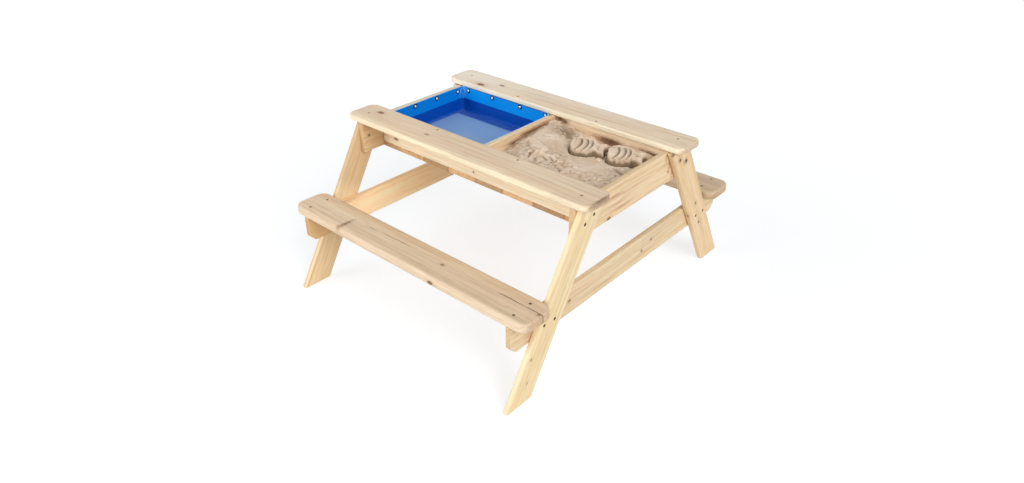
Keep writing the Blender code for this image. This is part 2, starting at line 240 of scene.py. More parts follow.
# Pine: growth rings round a pith line, bands, streaks, fibres and knots in the plank's own axes
pineTones = {  # pale early wood, the middle of a ring, dark late wood
    "top": (rgb(0.92, 0.78, 0.60), rgb(0.81, 0.64, 0.46), rgb(0.56, 0.40, 0.26)),
    "frame": (rgb(0.96, 0.81, 0.57), rgb(0.87, 0.69, 0.43), rgb(0.60, 0.40, 0.21)),
    "floor": (rgb(0.88, 0.62, 0.385), rgb(0.72, 0.465, 0.25), rgb(0.42, 0.24, 0.12)),
}
pineGrain = {
    "figures": {  # waves a metre along the grain and across it, detail, roughness
        "wobble": (1.5, 8.0, 2.0, 0.5), "band": (2.0, 44.0, 2.0, 0.5),
        "streak": (6.0, 130.0, 3.0, 0.6), "fibre": (18.0, 520.0, 2.0, 0.6),
        "patch": (1.5, 6.0, 1.0, 0.5), "dash": (24.0, 330.0, 1.0, 0.5),
        "blush": (2.2, 30.0, 1.0, 0.5)},
    "seedShift": (3.1, 1.7, 0.9),     # what a plank's seed moves the figures by
    "ringGap": 0.0105,                # between growth rings, metres
    "ringProfile": ((0.0, 0.0), (0.45, 0.12), (0.82, 1.0), (0.92, 0.75), (1.0, 0.0)),
    "wander": 0.024,                  # how far the rings stray
    "ringShare": 0.16, "bandShare": 0.80, "streakShare": 1.0, "fibreShare": 0.60,
    "middle": 0.40, "ringMiddle": 0.35, "toneStop": 0.42,
    "patchSteps": (0.35, 0.65), "dashSteps": (0.60, 0.74), "blushSteps": (0.40, 0.62),
    "dashShare": 0.34, "dashLeast": 0.25,     # short dark resin dashes
    "blushShare": 0.40, "blushTone": rgb(1.02, 0.93, 0.88),
    "endShare": 0.45, "endTint": (0.98, 0.92, 0.80), "faceSteps": (0.70, 0.95),
    "ringRelief": 0.5, "fibreRelief": 0.8, "streakRelief": 0.4, "relief": 0.00014,
    "reliefStrength": 0.55, "roughness": 0.56, "fibreRoughness": 0.2, "ringRoughness": 0.05,
    "specular": 0.30}
knotLook = {
    "bark": rgb(0.17, 0.08, 0.035), "heart": rgb(0.40, 0.22, 0.11),
    "depthShare": 3, "depthLeast": 0.003,
    "bend": 1.6, "bendReach": 0.42,   # how the rings bend round a knot
    "haloShare": 0.42, "haloReach": 0.62, "ragged": 0.6,
    "rimSteps": (0.60, 1.10), "coreSteps": (0.10, 0.80), "coreShare": 0.5}


def plankAxes(along, normal):
    u = Vector(along).normalized()
    w = Vector(normal).normalized()
    v = w.cross(u)
    return Matrix((u, v, w))


def metres(value):
    # of millimetres; a place becomes a vector
    return Vector(value) / 1000 if isinstance(value, (tuple, list)) else value / 1000


def knot(at, size, dark, stretch=1.6, edge=False):
    # an oval knot on the broad face or the edge: half its width, and its length by its width
    at, size = metres(at), metres(size)
    deep = size * knotLook["depthShare"] + knotLook["depthLeast"]
    reaches = (size * stretch, deep, size) if edge else (size * stretch, size, deep)
    return {"at": at, "size": size, "dark": dark, "reaches": reaches}


def paintKnot(finish, colour, distance, fibre, strength):
    look = knotLook
    halo = (distance * look["haloReach"]).bell() * look["haloShare"] * strength
    colour = finish.blend(halo, colour, look["heart"])
    core = 1.0 - (distance + fibre * look["ragged"]).step(*look["rimSteps"])
    inner = 1.0 - distance.step(*look["coreSteps"])
    colour = finish.blend(core * strength, colour, look["bark"])
    return finish.blend(inner * core * look["coreShare"] * strength, colour, look["heart"])


def pine(name, node, look):
    finish = Finish(name)
    grain = pineGrain
    run, normal, tone = lies[look["lie"]]
    axes = plankAxes(run, normal)
    low, high = corners(node)
    middle = (low + high) / 2
    where = finish.node("Mapping", {}, {
        "Vector": finish.coords(), "Rotation": axes.to_euler(), "Location": -(axes @ middle)})
    shifted = finish.vector("ADD", where, [look["seed"] * shift for shift in grain["seedShift"]])

    def figure(kind):
        lengthwise, crosswise, detail, rough = grain["figures"][kind]
        return finish.grown(shifted, (lengthwise, crosswise, crosswise), detail, rough)

    # each knot is 1 at its rim, and fades out under the face it shows on
    knots = [(finish.away(where, axes @ (spot["at"] - middle), spot["reaches"]), spot)
             for spot in look.get("knots", ())]
    swing = 0.0
    for distance, spot in knots:
        bend = spot["size"] * knotLook["bend"]
        swing = (distance * knotLook["bendReach"]).bell() * bend + swing

    along, across, through = finish.split(where)
    pithSide, pithDepth, pithSlope = look["pith"]
    across = across - pithSide + along * pithSlope
    through = through - pithDepth
    radius = (across * across + through * through).math("SQRT")
    radius = radius + (figure("wobble") - 0.5) * grain["wander"] + swing
    ring = finish.ramp((radius / grain["ringGap"]).math("FRACT"),
                       [(place, rgb(*[level] * 3)) for place, level in grain["ringProfile"]])
    band, streak, fibre = [figure(kind) - 0.5 for kind in ("band", "streak", "fibre")]
    patch = figure("patch").step(*grain["patchSteps"])
    dash = figure("dash").step(*grain["dashSteps"])
    depth = grain["middle"] + band * grain["bandShare"] + streak * grain["streakShare"] \
        + fibre * grain["fibreShare"] \
        + (ring - grain["ringMiddle"]) * patch * grain["ringShare"]
    pale, mean, dark = [tinted(shade, look["tint"]) for shade in pineTones[tone]]
    colour = finish.ramp(depth.clamped(), ((0.0, pale), (grain["toneStop"], mean), (1.0, dark)))
    blush = figure("blush").step(*grain["blushSteps"])
    colour = finish.blend(blush * grain["blushShare"], colour, grain["blushTone"], "MULTIPLY")
    colour = finish.blend(dash * (patch + grain["dashLeast"]) * grain["dashShare"], colour, dark)

    def faces(way):
        return finish.vector("DOT_PRODUCT", finish.facing(), way, out=1) \
            .math("ABSOLUTE").step(*grain["faceSteps"])

    if "edge" in look:  # painted light and shade: a plank's tint for its sides across the grain, as light falls there; end grain is darker
        colour = finish.blend(faces(axes.row[1]), colour, rgb(*look["edge"]), "MULTIPLY")
    colour = finish.blend(faces(axes.row[0]) * grain["endShare"], colour,
                          tinted(dark, grain["endTint"]))
    for mark in look.get("marks", ()):
        colour = mark(finish, where, axes, middle, colour)
    for distance, spot in knots:
        colour = paintKnot(finish, colour, distance, fibre, spot["dark"])
    height = ring * grain["ringRelief"] + fibre * grain["fibreRelief"] \
        + streak * grain["streakRelief"]
    roughness = grain["roughness"] + fibre * grain["fibreRoughness"] \
        + ring * grain["ringRoughness"]
    return finish.matt(grain, colour, roughness, height)


# Marks that some planks carry, and painted shade and highlight on some, given in millimetres; each
# is a function that changes the colour
markLook = {
    "glueTone": rgb(0.15, 0.075, 0.035), "glueRagged": (30.0, 4.0, 4.0),
    "glueBreaks": ((14.0, 60.0, 60.0), 3.0), "glueBreakSteps": (0.28, 0.5), "glueFade": 0.012,
    "glueStray": 1.5, "crispFade": 0.0006,  # of a glued strip or joint, metres
    "stripRagged": (5.0, 9.0, 9.0), "stripStray": 2.0,
    "stainRagged": (60.0, 220.0, 220.0), "stainStray": 1.1,
    "jointTone": rgb(0.24, 0.12, 0.06), "jointShade": rgb(0.80, 0.70, 0.60),
    "jointShadeShare": 0.22, "jointShadeFade": 0.001}


def betweenSteps(value, low, high, fade):
    return value.stepAt(low, fade) * (1.0 - value.stepAt(high, fade))


def ownPlaces(where, axes, middle, *spots):
    # signals along and across the grain, and the spots in the plank's own axes
    along, across, _ = where.finish.split(where)
    return along, across, [axes @ (metres(spot) - middle) for spot in spots]


def glueLine(start, end, width, strength):
    # a dark joint that runs along the grain between two ends
    look, width = markLook, metres(width)

    def mark(finish, where, axes, middle, colour):
        along, across, (first, last) = ownPlaces(where, axes, middle, start, end)
        ragged = finish.grown(where, look["glueRagged"]) - 0.5
        slope = (last.y - first.y) / (last.x - first.x)
        near = ((across - first.y - (along - first.x) * slope + ragged * width * look["glueStray"])
                / width).bell()
        low, high = sorted((first.x, last.x))
        broken = finish.grown(where, *look["glueBreaks"]).step(*look["glueBreakSteps"])
        share = near * betweenSteps(along, low, high, look["glueFade"]) * broken
        return finish.blend(share * strength, colour, look["glueTone"])
    return mark


def strip(start, end, tone, strength, soft=0):
    # a band between two edges that run along the grain: a glued strip or sapwood, and on some
    # planks a painted highlight or painted shade
    fade = metres(soft) or markLook["crispFade"]

    def mark(finish, where, axes, middle, colour):
        along, across, (first, last) = ownPlaces(where, axes, middle, start, end)
        if soft:
            ragged = finish.grown(where, markLook["stripRagged"]) - 0.5
            across = across + ragged * fade * markLook["stripStray"]
        low, high = sorted((first.y, last.y))
        left, right = sorted((first.x, last.x))
        share = betweenSteps(across, low, high, fade) * betweenSteps(along, left, right, fade)
        return finish.blend(share * strength, colour, tone, "MULTIPLY")
    return mark


def stain(at, reach, side, tone, strength, deep=12):
    # a soft blot of another tone, long along the grain; the planks use it for stains and for
    # painted shadow
    reaches = [metres(size) for size in (reach, side, deep)]

    def mark(finish, where, axes, middle, colour):
        distance = finish.away(where, axes @ (metres(at) - middle), reaches)
        ragged = finish.grown(where, markLook["stainRagged"]) - 0.5
        share = (distance + ragged * markLook["stainStray"]).bell() * strength
        return finish.blend(share, colour, tone)
    return mark


def stains(axis, level, rows, deep=12):
    # stains that share one coordinate: the two others, reach, side, tone and strength
    marks = []
    for first, second, *look in rows:
        at = [first, second]
        at.insert(axis, level)
        marks.append(stain(at, *look, deep))
    return marks


def fingerJoint(start, end, pitch, reach, width, strength):
    # zigzag glue joint across the strip between the two spots
    look = markLook
    pitch, reach, width = metres(pitch), metres(reach), metres(width)

    def mark(finish, where, axes, middle, colour):
        along, across, (first, last) = ownPlaces(where, axes, middle, start, end)
        tooth = (across / pitch).math("PINGPONG", 1.0) * reach
        slope = (last.x - first.x) / (last.y - first.y)
        place = along - first.x - (across - first.y) * slope - tooth
        low, high = sorted((first.y, last.y))
        inside = betweenSteps(across, low, high, look["crispFade"])
        shade = place.stepAt(0.0, look["jointShadeFade"]) * inside * look["jointShadeShare"]
        colour = finish.blend(shade, colour, look["jointShade"], "MULTIPLY")
        return finish.blend((place / width).bell() * inside * strength, colour,
                            look["jointTone"])
    return mark


leftToRight = (1, 0, 0)
frontToBack = (0, 1, 0)
upwards = (0, 0, 1)
legRake = math.radians(30.7)
lies = {  # the way of the grain, the way the broad face looks, and the tone
    "flat": (leftToRight, upwards, "top"), "floor": (frontToBack, upwards, "floor"),
    "apron": (leftToRight, frontToBack, "top"), "end": (frontToBack, leftToRight, "frame"),
    "front leg": ((0, math.sin(legRake), math.cos(legRake)), leftToRight, "frame"),
    "back leg": ((0, -math.sin(legRake), math.cos(legRake)), leftToRight, "frame")}

# resin and rust tones, for real stains and also for painted shadow on some planks
resinAndShadowTone = rgb(0.20, 0.10, 0.05)
rustAndShadowTone = rgb(0.48, 0.27, 0.15)
# painted shadow: the near-black of gaps and recesses under boards and in corners
paintedShadowTone = rgb(0.11, 0.048, 0.016)
planks = {  # knots and marks in millimetres
    "table_board_front": {
        "lie": "flat", "pith": (0.03, -0.05, 0.02), "seed": 1.0, "tint": (0.99, 1.0, 0.98),
        # painted light: the front and back faces are tinted paler
        "edge": (1.05, 1.12, 1.13),
        "knots": (
            knot((-379, -203, 500), 8.5, 0.90, 1.5), knot((-152, -224, 500), 5.5, 0.50, 2.0)),
        "marks": (
            # painted highlight along the front arris and the front of the top
            strip((-460, -285, 500), (340, -246, 500), rgb(1.09, 1.10, 1.09), 0.9, 12),
            stain((-400, -190, 500), 90, 30, rgb(0.83, 0.64, 0.49), 0.45),
            # a dark line along the top of the board's right end
            stain((456.5, -213, 498.5), 4.2, 46, resinAndShadowTone, 0.85))},
    "table_board_back": {
        "lie": "flat", "pith": (-0.03, -0.06, -0.03), "seed": 2.3, "tint": (1.0, 1.03, 1.04),
        # painted light: the front and back faces are tinted paler
        "edge": (1.08, 1.18, 1.22),
        "knots": (
            knot((-321, 180, 500), 9.5, 0.95, 1.7), knot((-259, 218.5, 500), 6.5, 0.75, 1.7)),
        "marks": (
            stain((-380, 225, 500), 220, 80, rgb(0.98, 0.92, 0.81), 0.60),
            stain((-310, 190, 500), 60, 18, rgb(0.86, 0.62, 0.50), 0.40),
            stain((100, 250, 500), 200, 20, rgb(0.86, 0.76, 0.64), 0.45))},
    "seat_front": {
        "lie": "flat", "pith": (0.02, -0.07, 0.01), "seed": 3.7, "tint": (1.0, 1.0, 0.99),
        "knots": (
            knot((119, -441, 276), 5, 0.6), knot((136, -503, 258), 6.4, 1.0, edge=True),
            knot((452, -441, 276), 3.8, 0.7)),
        "marks": (
            strip((-461, -436, 276), (461, -391, 276), rgb(0.94, 0.89, 0.83), 0.8),
            glueLine((318, -436, 276), (472, -436, 276), 1.5, 1.0),
            glueLine((-210, -436, 276), (318, -436, 276), 0.7, 0.28),
            fingerJoint((-246.5, -503, 276), (-252.5, -436, 276), 6.5, 9, 0.8, 0.75),
            stain((-247, -475, 276), 7, 25, resinAndShadowTone, 0.80, 6),
            stain((-249, -500, 273), 9, 12, rustAndShadowTone, 0.80, 10),
            *stains(2, 276, (
                (-165, -441, 30, 1.8, resinAndShadowTone, 0.66), (-100, -438, 24, 1.8, resinAndShadowTone, 0.60),
                (-45, -435, 28, 1.8, resinAndShadowTone, 0.66)), 4))},
    "seat_back": {
        "lie": "flat", "pith": (-0.02, -0.05, 0.02), "seed": 4.9, "tint": (0.89, 0.86, 0.83),
        "knots": (knot((100, 430, 276), 5, 0.7),),
        "marks": (stain((461, 410, 252), 30, 50, rgb(0.42, 0.26, 0.13), 0.6, 14),)},
    "tray_apron_front": {
        "lie": "apron", "pith": (0.02, 0.04, 0.02), "seed": 5.2, "tint": (1.10, 1.18, 1.18),
        "knots": (knot((-336, -188, 420), 5, 0.75, 2.4), knot((-4, -188, 415), 3.4, 0.9, 1.1))},
    "tray_apron_back": {
        "lie": "apron", "pith": (-0.02, 0.05, 0.02), "seed": 6.1, "tint": (1.05, 1.07, 1.04),
        # painted shadow: dark shade along the sand line under the back board, and in the corner by
        # the divider
        "marks": stains(1, 170, (
            (205, 452, 80, 13, rustAndShadowTone, 0.75), (335, 452, 55, 13, rustAndShadowTone, 0.70),
            (215, 449, 42, 11, resinAndShadowTone, 0.90), (345, 450, 26, 11, resinAndShadowTone, 0.90),
            (215, 456, 45, 7, paintedShadowTone, 0.80), (358, 456, 34, 7, paintedShadowTone, 0.90),
            (26, 476, 22, 11, paintedShadowTone, 1.0), (45, 470, 13, 7, paintedShadowTone, 1.0)))},
    "tray_divider": {
        "lie": "end", "pith": (0.01, 0.03, 0.02), "seed": 7.4, "tint": (0.97, 0.96, 0.98),
        "marks": (
            # painted shadow: the shaded gap between the divider's sand side and the sand, and a
            # dark notch at its far top end
            *stains(0, 9, (
                (100, 467, 85, 13, rustAndShadowTone, 1.0), (20, 458, 80, 10, rustAndShadowTone, 0.9),
                (100, 465, 40, 7, resinAndShadowTone, 1.0), (58, 467, 36, 5, resinAndShadowTone, 1.0),
                (30, 469, 26, 3.6, resinAndShadowTone, 1.0), (22, 455, 28, 6, paintedShadowTone, 1.0),
                (-20, 456, 28, 5, paintedShadowTone, 1.0)), 6),
            stain((-7, 160, 481.7), 8, 7, paintedShadowTone, 0.9, 6))},
    "end_wall_left": {
        "lie": "end", "pith": (0.02, 0.05, 0.03), "seed": 8.8, "tint": (0.88, 0.79, 0.73),
        # painted highlight: the top and bottom faces are tinted near white and bluish
        "edge": (1.04, 1.36, 2.05),
        "knots": (knot((-397, -243, 433), 4.2, 0.9, 1.1),),
        "marks": (
            stain((-412, 158, 482), 12, 6, rgb(0.80, 0.60, 0.52), 0.8, 20),
            # painted shadow in the gap between the board and the wall's top
            stain((-403, 169, 482), 7.5, 6, paintedShadowTone, 1.0, 18))},
    "end_wall_right": {
        "lie": "end", "pith": (-0.02, 0.05, 0.02), "seed": 9.5, "tint": (0.97, 0.95, 0.95),
        # painted shade: the top and bottom faces are tinted darker than the sides
        "edge": (0.89, 0.86, 0.84),
        "knots": (knot((415, 175, 418), 3.4, 0.9, 1.2), knot((415, -112, 387), 5.6, 0.85, 1.8)),
        "marks": (
            glueLine((415, -64, 455.4), (415, 93, 450.4), 0.9, 0.34),
            *stains(0, 415, (
                (-95, 447, 36, 3.6, rustAndShadowTone, 0.75), (-55, 402, 40, 4.4, rustAndShadowTone, 0.80),
                (-70, 420, 30, 3.4, rgb(0.62, 0.36, 0.18), 0.80), (-30, 428, 35, 2.2, rustAndShadowTone, 0.40),
                # painted shadow of the back right leg along its front edge
                (158, 468, 6, 18, rustAndShadowTone, 0.65), (178, 436, 6, 20, rustAndShadowTone, 0.60),
                (197, 402, 6, 20, rustAndShadowTone, 0.55))))},
    "seat_rail_left": {
        "lie": "end", "pith": (0.03, 0.04, 0.01), "seed": 10.3, "tint": (1.16, 1.06, 1.00),
        "marks": (
            # painted shade under the seat: the front of the inner face darkened, and a dark line
            # along the top edge
            strip((-397, -510, 160), (-397, -385, 250), rgb(0.72, 0.63, 0.50), 1.0, 6),
            stain((-397, -360, 246), 60, 10, rustAndShadowTone, 0.45, 10))},
    "seat_rail_right": {
        "lie": "end", "pith": (-0.03, 0.05, 0.02), "seed": 11.6, "tint": (0.92, 0.91, 0.92),
        "knots": (
            knot((415, 122, 218), 4.2, 0.98, 1.2), knot((415, 74, 200), 4, 0.98, 1.2),
            knot((415, -270, 207), 4.5, 0.8, 1.5)),
        # painted shadow by the front right leg
        "marks": (stain((415, -430, 205), 22, 40, rustAndShadowTone, 0.60),)},
    "leg_front_right": {
        "lie": "front leg", "pith": (0.01, 0.05, 0.02), "seed": 12.2, "tint": (1.03, 1.07, 1.07),
        "knots": (knot((433, -445, 128), 3.8, 0.6, 1.5), knot((433, -460, 61), 2.6, 0.5, 2.2)),
        "marks": (strip((433, -498.2, 5), (433, -250.8, 451.3), rgb(0.95, 0.87, 0.74), 0.8, 5),)},
    "leg_front_left": {
        "lie": "front leg", "pith": (-0.02, 0.06, 0.02), "seed": 13.9, "tint": (0.95, 0.90, 0.84),
        "marks": (
            strip((-415.3, -400, 330), (-415.3, -120, 520), rgb(0.84, 0.79, 0.76), 1.0, 30),)},
    "leg_back_right": {
        "lie": "back leg", "pith": (0.02, 0.05, -0.02), "seed": 14.4, "tint": (0.96, 0.90, 0.86),
        "knots": (
            knot((433, 339, 256.5), 4.2, 0.8), knot((433, 378, 172), 4.2, 0.8),
            knot((433, 308, 219), 4.2, 0.8)),
        "marks": (
            # painted shadow in the gap under the back board at the leg's head
            stain((433.3, 163, 480), 6, 19, paintedShadowTone, 0.90, 6),
            stain((433.3, 203.8, 448.9), 11, 10, rustAndShadowTone, 0.75, 6),
            stain((433.3, 238.4, 435), 11, 10, resinAndShadowTone, 0.75, 6))},
    "leg_back_left": {
        "lie": "back leg", "pith": (0.01, 0.04, 0.01), "seed": 15.7, "tint": (0.98, 0.94, 0.88),
        "marks": (
            stain((-424, 160, 482), 16, 16, rgb(0.86, 0.64, 0.54), 0.9, 30),
            # painted shadow along the board's lower edge over the leg's head
            stain((-424, 169, 482), 8, 8, paintedShadowTone, 1.0, 30))},
}
floorShades = (0.95, 1.12, 0.78, 1.20, 0.85, 1.30, 0.80, 1.05)
for number, shade in enumerate(floorShades, 1):
    planks["tray_floor_board_" + str(number)] = {
        "lie": "floor", "pith": (0.03 - 0.008 * number, -0.05, 0.01),
        "seed": 20.0 + number * 1.37, "tint": [shade] * 3}
weldReach = 1e-6


def dressPlank(node, look):
    # a merged copy of the plank, so that its rounded arrises shade smoothly
    build = bmesh.new()
    build.from_mesh(nodes[node].data)
    bmesh.ops.remove_doubles(build, verts=build.verts, dist=weldReach)
    piece = meshFrom(node + "_plank", build, pine(node + "_pine", node, look))
    piece.modifiers.new("even", "WEIGHTED_NORMAL").keep_sharp = True
    framed = lies[look["lie"]][-1] == "frame"
    return settle(piece, node, slot="pine_frame" if framed else "pine_top")


for node, look in planks.items():
    dressPlank(node, look)
print("planks dressed:", len(planks))


# Screws: one sunk head with a cross recess, set into every hole by a node tree
screwLook = {
    "heads": {"leg_screw": 0.0052, "board_screw": 0.0043, "seat_screw": 0.0043},
    "headDepth": 0.0028, "shankRadius": 0.0022, "tip": 0.006,
    "ease": 0.08, "recessArm": 0.62, "recessWidth": 0.26,   # shares of the head's radius
    "recessDepth": 0.0017, "recessFootArm": 0.45, "recessFootWidth": 0.35,
    "sides": 20, "smooth": 30, "seed": 11,
    "metals": {"leg_screw": (rgb(0.16, 0.105, 0.055), rgb(0.04, 0.026, 0.014)),
               "board_screw": (rgb(0.36, 0.27, 0.16), rgb(0.12, 0.08, 0.045)),
               "seat_screw": (rgb(0.30, 0.22, 0.13), rgb(0.09, 0.06, 0.033))},
    "tarnish": (260.0, 3.0), "tarnishSteps": (0.35, 0.75), "metallic": 0.5,
    "roughness": 0.45, "tarnishRoughness": 0.2, "specular": 0.2}


def screwMetal(name, metal, dark):
    look = screwLook
    finish = Finish(name)
    tarnish = finish.noise(finish.coords(), *look["tarnish"])
    return finish.surface({
        "Base Color": finish.blend(tarnish.step(*look["tarnishSteps"]), metal, dark),
        "Metallic": look["metallic"], "Specular IOR Level": look["specular"],
        "Roughness": look["roughness"] + tarnish * look["tarnishRoughness"]})


def turnedSolid(profile, sides):
    build = bmesh.new()
    rings = []
    for radius, height in profile:
        spokes = [2 * math.pi * side / sides for side in range(sides)] if radius else [0.0]
        rings.append([build.verts.new((radius * math.cos(a), radius * math.sin(a), height))
                      for a in spokes])
    bridge(build, rings)
    return build


def crossCutter(name, radius):
    # tapered cross that presses the driver recess
    look = screwLook
    build = bmesh.new()
    arm, width = look["recessArm"] * radius, look["recessWidth"] * radius
    foot = (-look["recessDepth"], arm * look["recessFootArm"], width * look["recessFootWidth"])
    for turn in (0.0, math.pi / 2):
        low, high = [
            [build.verts.new(Matrix.Rotation(turn, 3, "Z") @ Vector((x, y, height)))
             for x, y in ((-reach, -half), (reach, -half), (reach, half), (-reach, half))]
            for height, reach, half in (foot, (look["headDepth"], arm, width / 2))]
        build.faces.new(low)
        build.faces.new(high)
        bridge(build, (low, high))
    return meshFrom(name, build, bpy.data.materials[0])


def screwSolid(name, radius, length, material):
    look = screwLook
    deep, shank, tip = look["headDepth"], look["shankRadius"], look["tip"]
    ease = radius * look["ease"]
    profile = [(0, -length), (shank, -length + tip), (shank, -deep - ease), (radius, -ease),
               (radius - ease, 0), (0, 0)]
    screw = meshFrom(name, turnedSolid(profile, look["sides"]), material, look["smooth"])
    cut = screw.modifiers.new("recess", "BOOLEAN")
    cut.operation = "DIFFERENCE"
    cut.use_self = True
    cutter = cut.object = crossCutter(name + "_cutter", radius)
    workIn(screw)
    bpy.data.objects.remove(cutter)
    return screw


def settingTree(name):
    # sets a copy of one solid on every point, along its "facing", turned at random about it
    tree = bpy.data.node_groups.new(name, "GeometryNodeTree")
    for label, way, kind in (
            ("Geometry", "INPUT", "Geometry"), ("Solid", "INPUT", "Object"),
            ("Size", "INPUT", "Float"), ("Turn", "INPUT", "Float"), ("Seed", "INPUT", "Int"),
            ("Finish", "INPUT", "Material"), ("Geometry", "OUTPUT", "Geometry")):
        tree.interface.new_socket(label, in_out=way, socket_type="NodeSocket" + kind)

    def made(kind, settings=None, sockets=None):
        return addNode(tree, kind, settings, sockets).outputs

    source = made("NodeGroupInput")
    solid = made("GeometryNodeObjectInfo", {}, {"Object": source["Solid"]})
    facing = made("GeometryNodeInputNamedAttribute", {"data_type": "FLOAT_VECTOR"},
                  {"Name": "facing"})
    aim = made("FunctionNodeAlignRotationToVector", {"axis": "Z"},
               {"Vector": facing["Attribute"]})
    placed = made("GeometryNodeInstanceOnPoints", {}, {
        "Points": source["Geometry"], "Instance": solid["Geometry"],
        "Rotation": aim["Rotation"], "Scale": source["Size"]})
    chance = made("FunctionNodeRandomValue", {"data_type": "FLOAT"}, {"Seed": source["Seed"]})
    angle = made("ShaderNodeMath", {"operation": "MULTIPLY"}, {0: chance[1], 1: source["Turn"]})
    spin = made("ShaderNodeCombineXYZ", {}, {"Z": angle[0]})
    turned = made("GeometryNodeRotateInstances", {}, {
        "Instances": placed["Instances"], "Rotation": spin["Vector"], "Local Space": True})
    real = made("GeometryNodeRealizeInstances", {}, {"Geometry": turned["Instances"]})
    coated = made("GeometryNodeSetMaterial", {}, {
        "Geometry": real["Geometry"], "Material": source["Finish"]})
    made("NodeGroupOutput", {}, {"Geometry": coated["Geometry"]})
    return tree


def setOut(name, tree, spots, solid, turn, seed, smooth):
    # points with a facing, each given a copy of the solid, kept as one plain mesh
    mesh = bpy.data.meshes.new(name)
    mesh.from_pydata([spot for spot, _ in spots], [], [])
    facing = mesh.attributes.new("facing", "FLOAT_VECTOR", "POINT")
    for index, (_, way) in enumerate(spots):
        facing.data[index].vector = way
    piece = bringIn(name, mesh)
    modifier = piece.modifiers.new(name, "NODES")
    modifier.node_group = tree
    values = {"Solid": solid, "Size": 1.0, "Turn": turn, "Seed": seed,
              "Finish": solid.data.materials[0]}
    for item in tree.interface.items_tree:
        if item.item_type == "SOCKET" and item.in_out == "INPUT" and item.name in values:
            modifier[item.identifier] = values[item.name]
    workIn(piece)
    bpy.data.objects.remove(solid)
    shadeSmooth(piece.data, smooth)
    return piece


def screwSpots(prefix):
    # the middle of each screw's head, the way it looks and its node, read from the solids
    spots = []
    for node in sorted(nodes):
        if node.startswith(prefix):
            low, high = corners(node)
            middle = (low + high) / 2
            way = Vector(upwards)
            if prefix == "leg_screw":
                way = Vector((math.copysign(1, middle.x), 0, 0))
            reach = abs(way.dot(high - low)) / 2
            spots.append((middle + way * reach, way, node))
    return spots


tree = settingTree("set_pieces")
for prefix, radius in screwLook["heads"].items():
    spots = screwSpots(prefix)
    low, high = corners(spots[0][2])
    solid = screwSolid(prefix + "_solid", radius, max(high - low),
                       screwMetal(prefix + "_zinc", *screwLook["metals"][prefix]))
    row = setOut(prefix + "s", tree, [spot[:2] for spot in spots], solid, math.pi,
                 screwLook["seed"], screwLook["smooth"])
    settle(row, *[spot[2] for spot in spots], slot="screw_metal")
print("screws set")


# Water liner: vinyl sheet with tucked corners, and press studs along its rim
linerLook = {
    "sheet": 0.0012, "corner": 0.012, "foot": 0.009, "smooth": 60,
    "cornerSteps": 10, "wallSteps": 36, "heightSteps": 16, "footSteps": 6,
    "drop": 0.0006,                         # rim under the tops of the walls
    "tuck": 0.0030, "tuckReach": 0.022, "tuckPitch": 0.0105, "sag": 0.0008, "sagReach": 0.03,
    "blue": rgb(0.0, 0.325, 0.88), "deepBlue": rgb(0.0, 0.20, 0.72), "deepShare": 0.35,
    "cloud": (9.0, 3.0), "cloudSteps": (0.35, 0.75),
    # painted shade on the liner by the left end wall, and painted highlight streaks on the tucked
    # corner's pleats
    "shadedSideTint": rgb(1.0, 0.68, 0.80), "shadedSideSteps": (0.004, 0.012),
    "puckerHighlightBlue": rgb(0.40, 0.70, 0.97), "puckerHighlightShare": 0.9, "puckerDrop": 0.014,
    "puckerReach": (0.022, 0.022, 0.026), "puckerWaves": (260.0, 260.0, 45.0),
    "puckerSteps": (0.50, 0.66),
    # painted highlight: a pale band along the liner's rim
    "rimHighlight": 0.0011, "rimHighlightFade": 0.0004, "rimHighlightShare": 0.8,
    "rimHighlightBlue": rgb(0.35, 0.60, 0.90), "rimHighlightPale": rgb(0.80, 0.88, 0.95),
    "whiteHighlightSide": (-0.008, -0.004),           # the whiter painted highlight by the sand, from the liner's right end
    "rimShade": rgb(0.16, 0.30, 0.55), "rimShare": 0.9,   # dark line under the far board
    "rimSide": (-0.004, -0.002), "rimHeight": (-0.0036, -0.0026),
    # the dark under water is partly painted shade, and the floor margins by the left and back
    # walls are painted shade and reflection
    "wetShadedWall": rgb(0.0, 0.064, 0.40), "wetFloor": rgb(0.225, 0.380, 0.64),
    "wetFade": 0.0006, "shoreLeft": 0.012, "shoreBack": 0.040, "shoreFade": 0.004,
    "shoreHeight": (0.003, 0.005),
    "crease": ((30.0, 30.0, 9.0), 3.0), "grain": (1800.0, 1.0), "grainRelief": 0.05,
    "reliefStrength": 0.35, "relief": 0.0012, "roughness": 0.36, "cloudRoughness": 0.1,
    "specular": 0.16}
linerLow, linerHigh = corners("water_liner")
waterTop = corners("water_fill")[1].z
linerTop = linerHigh.z - linerLook["drop"]


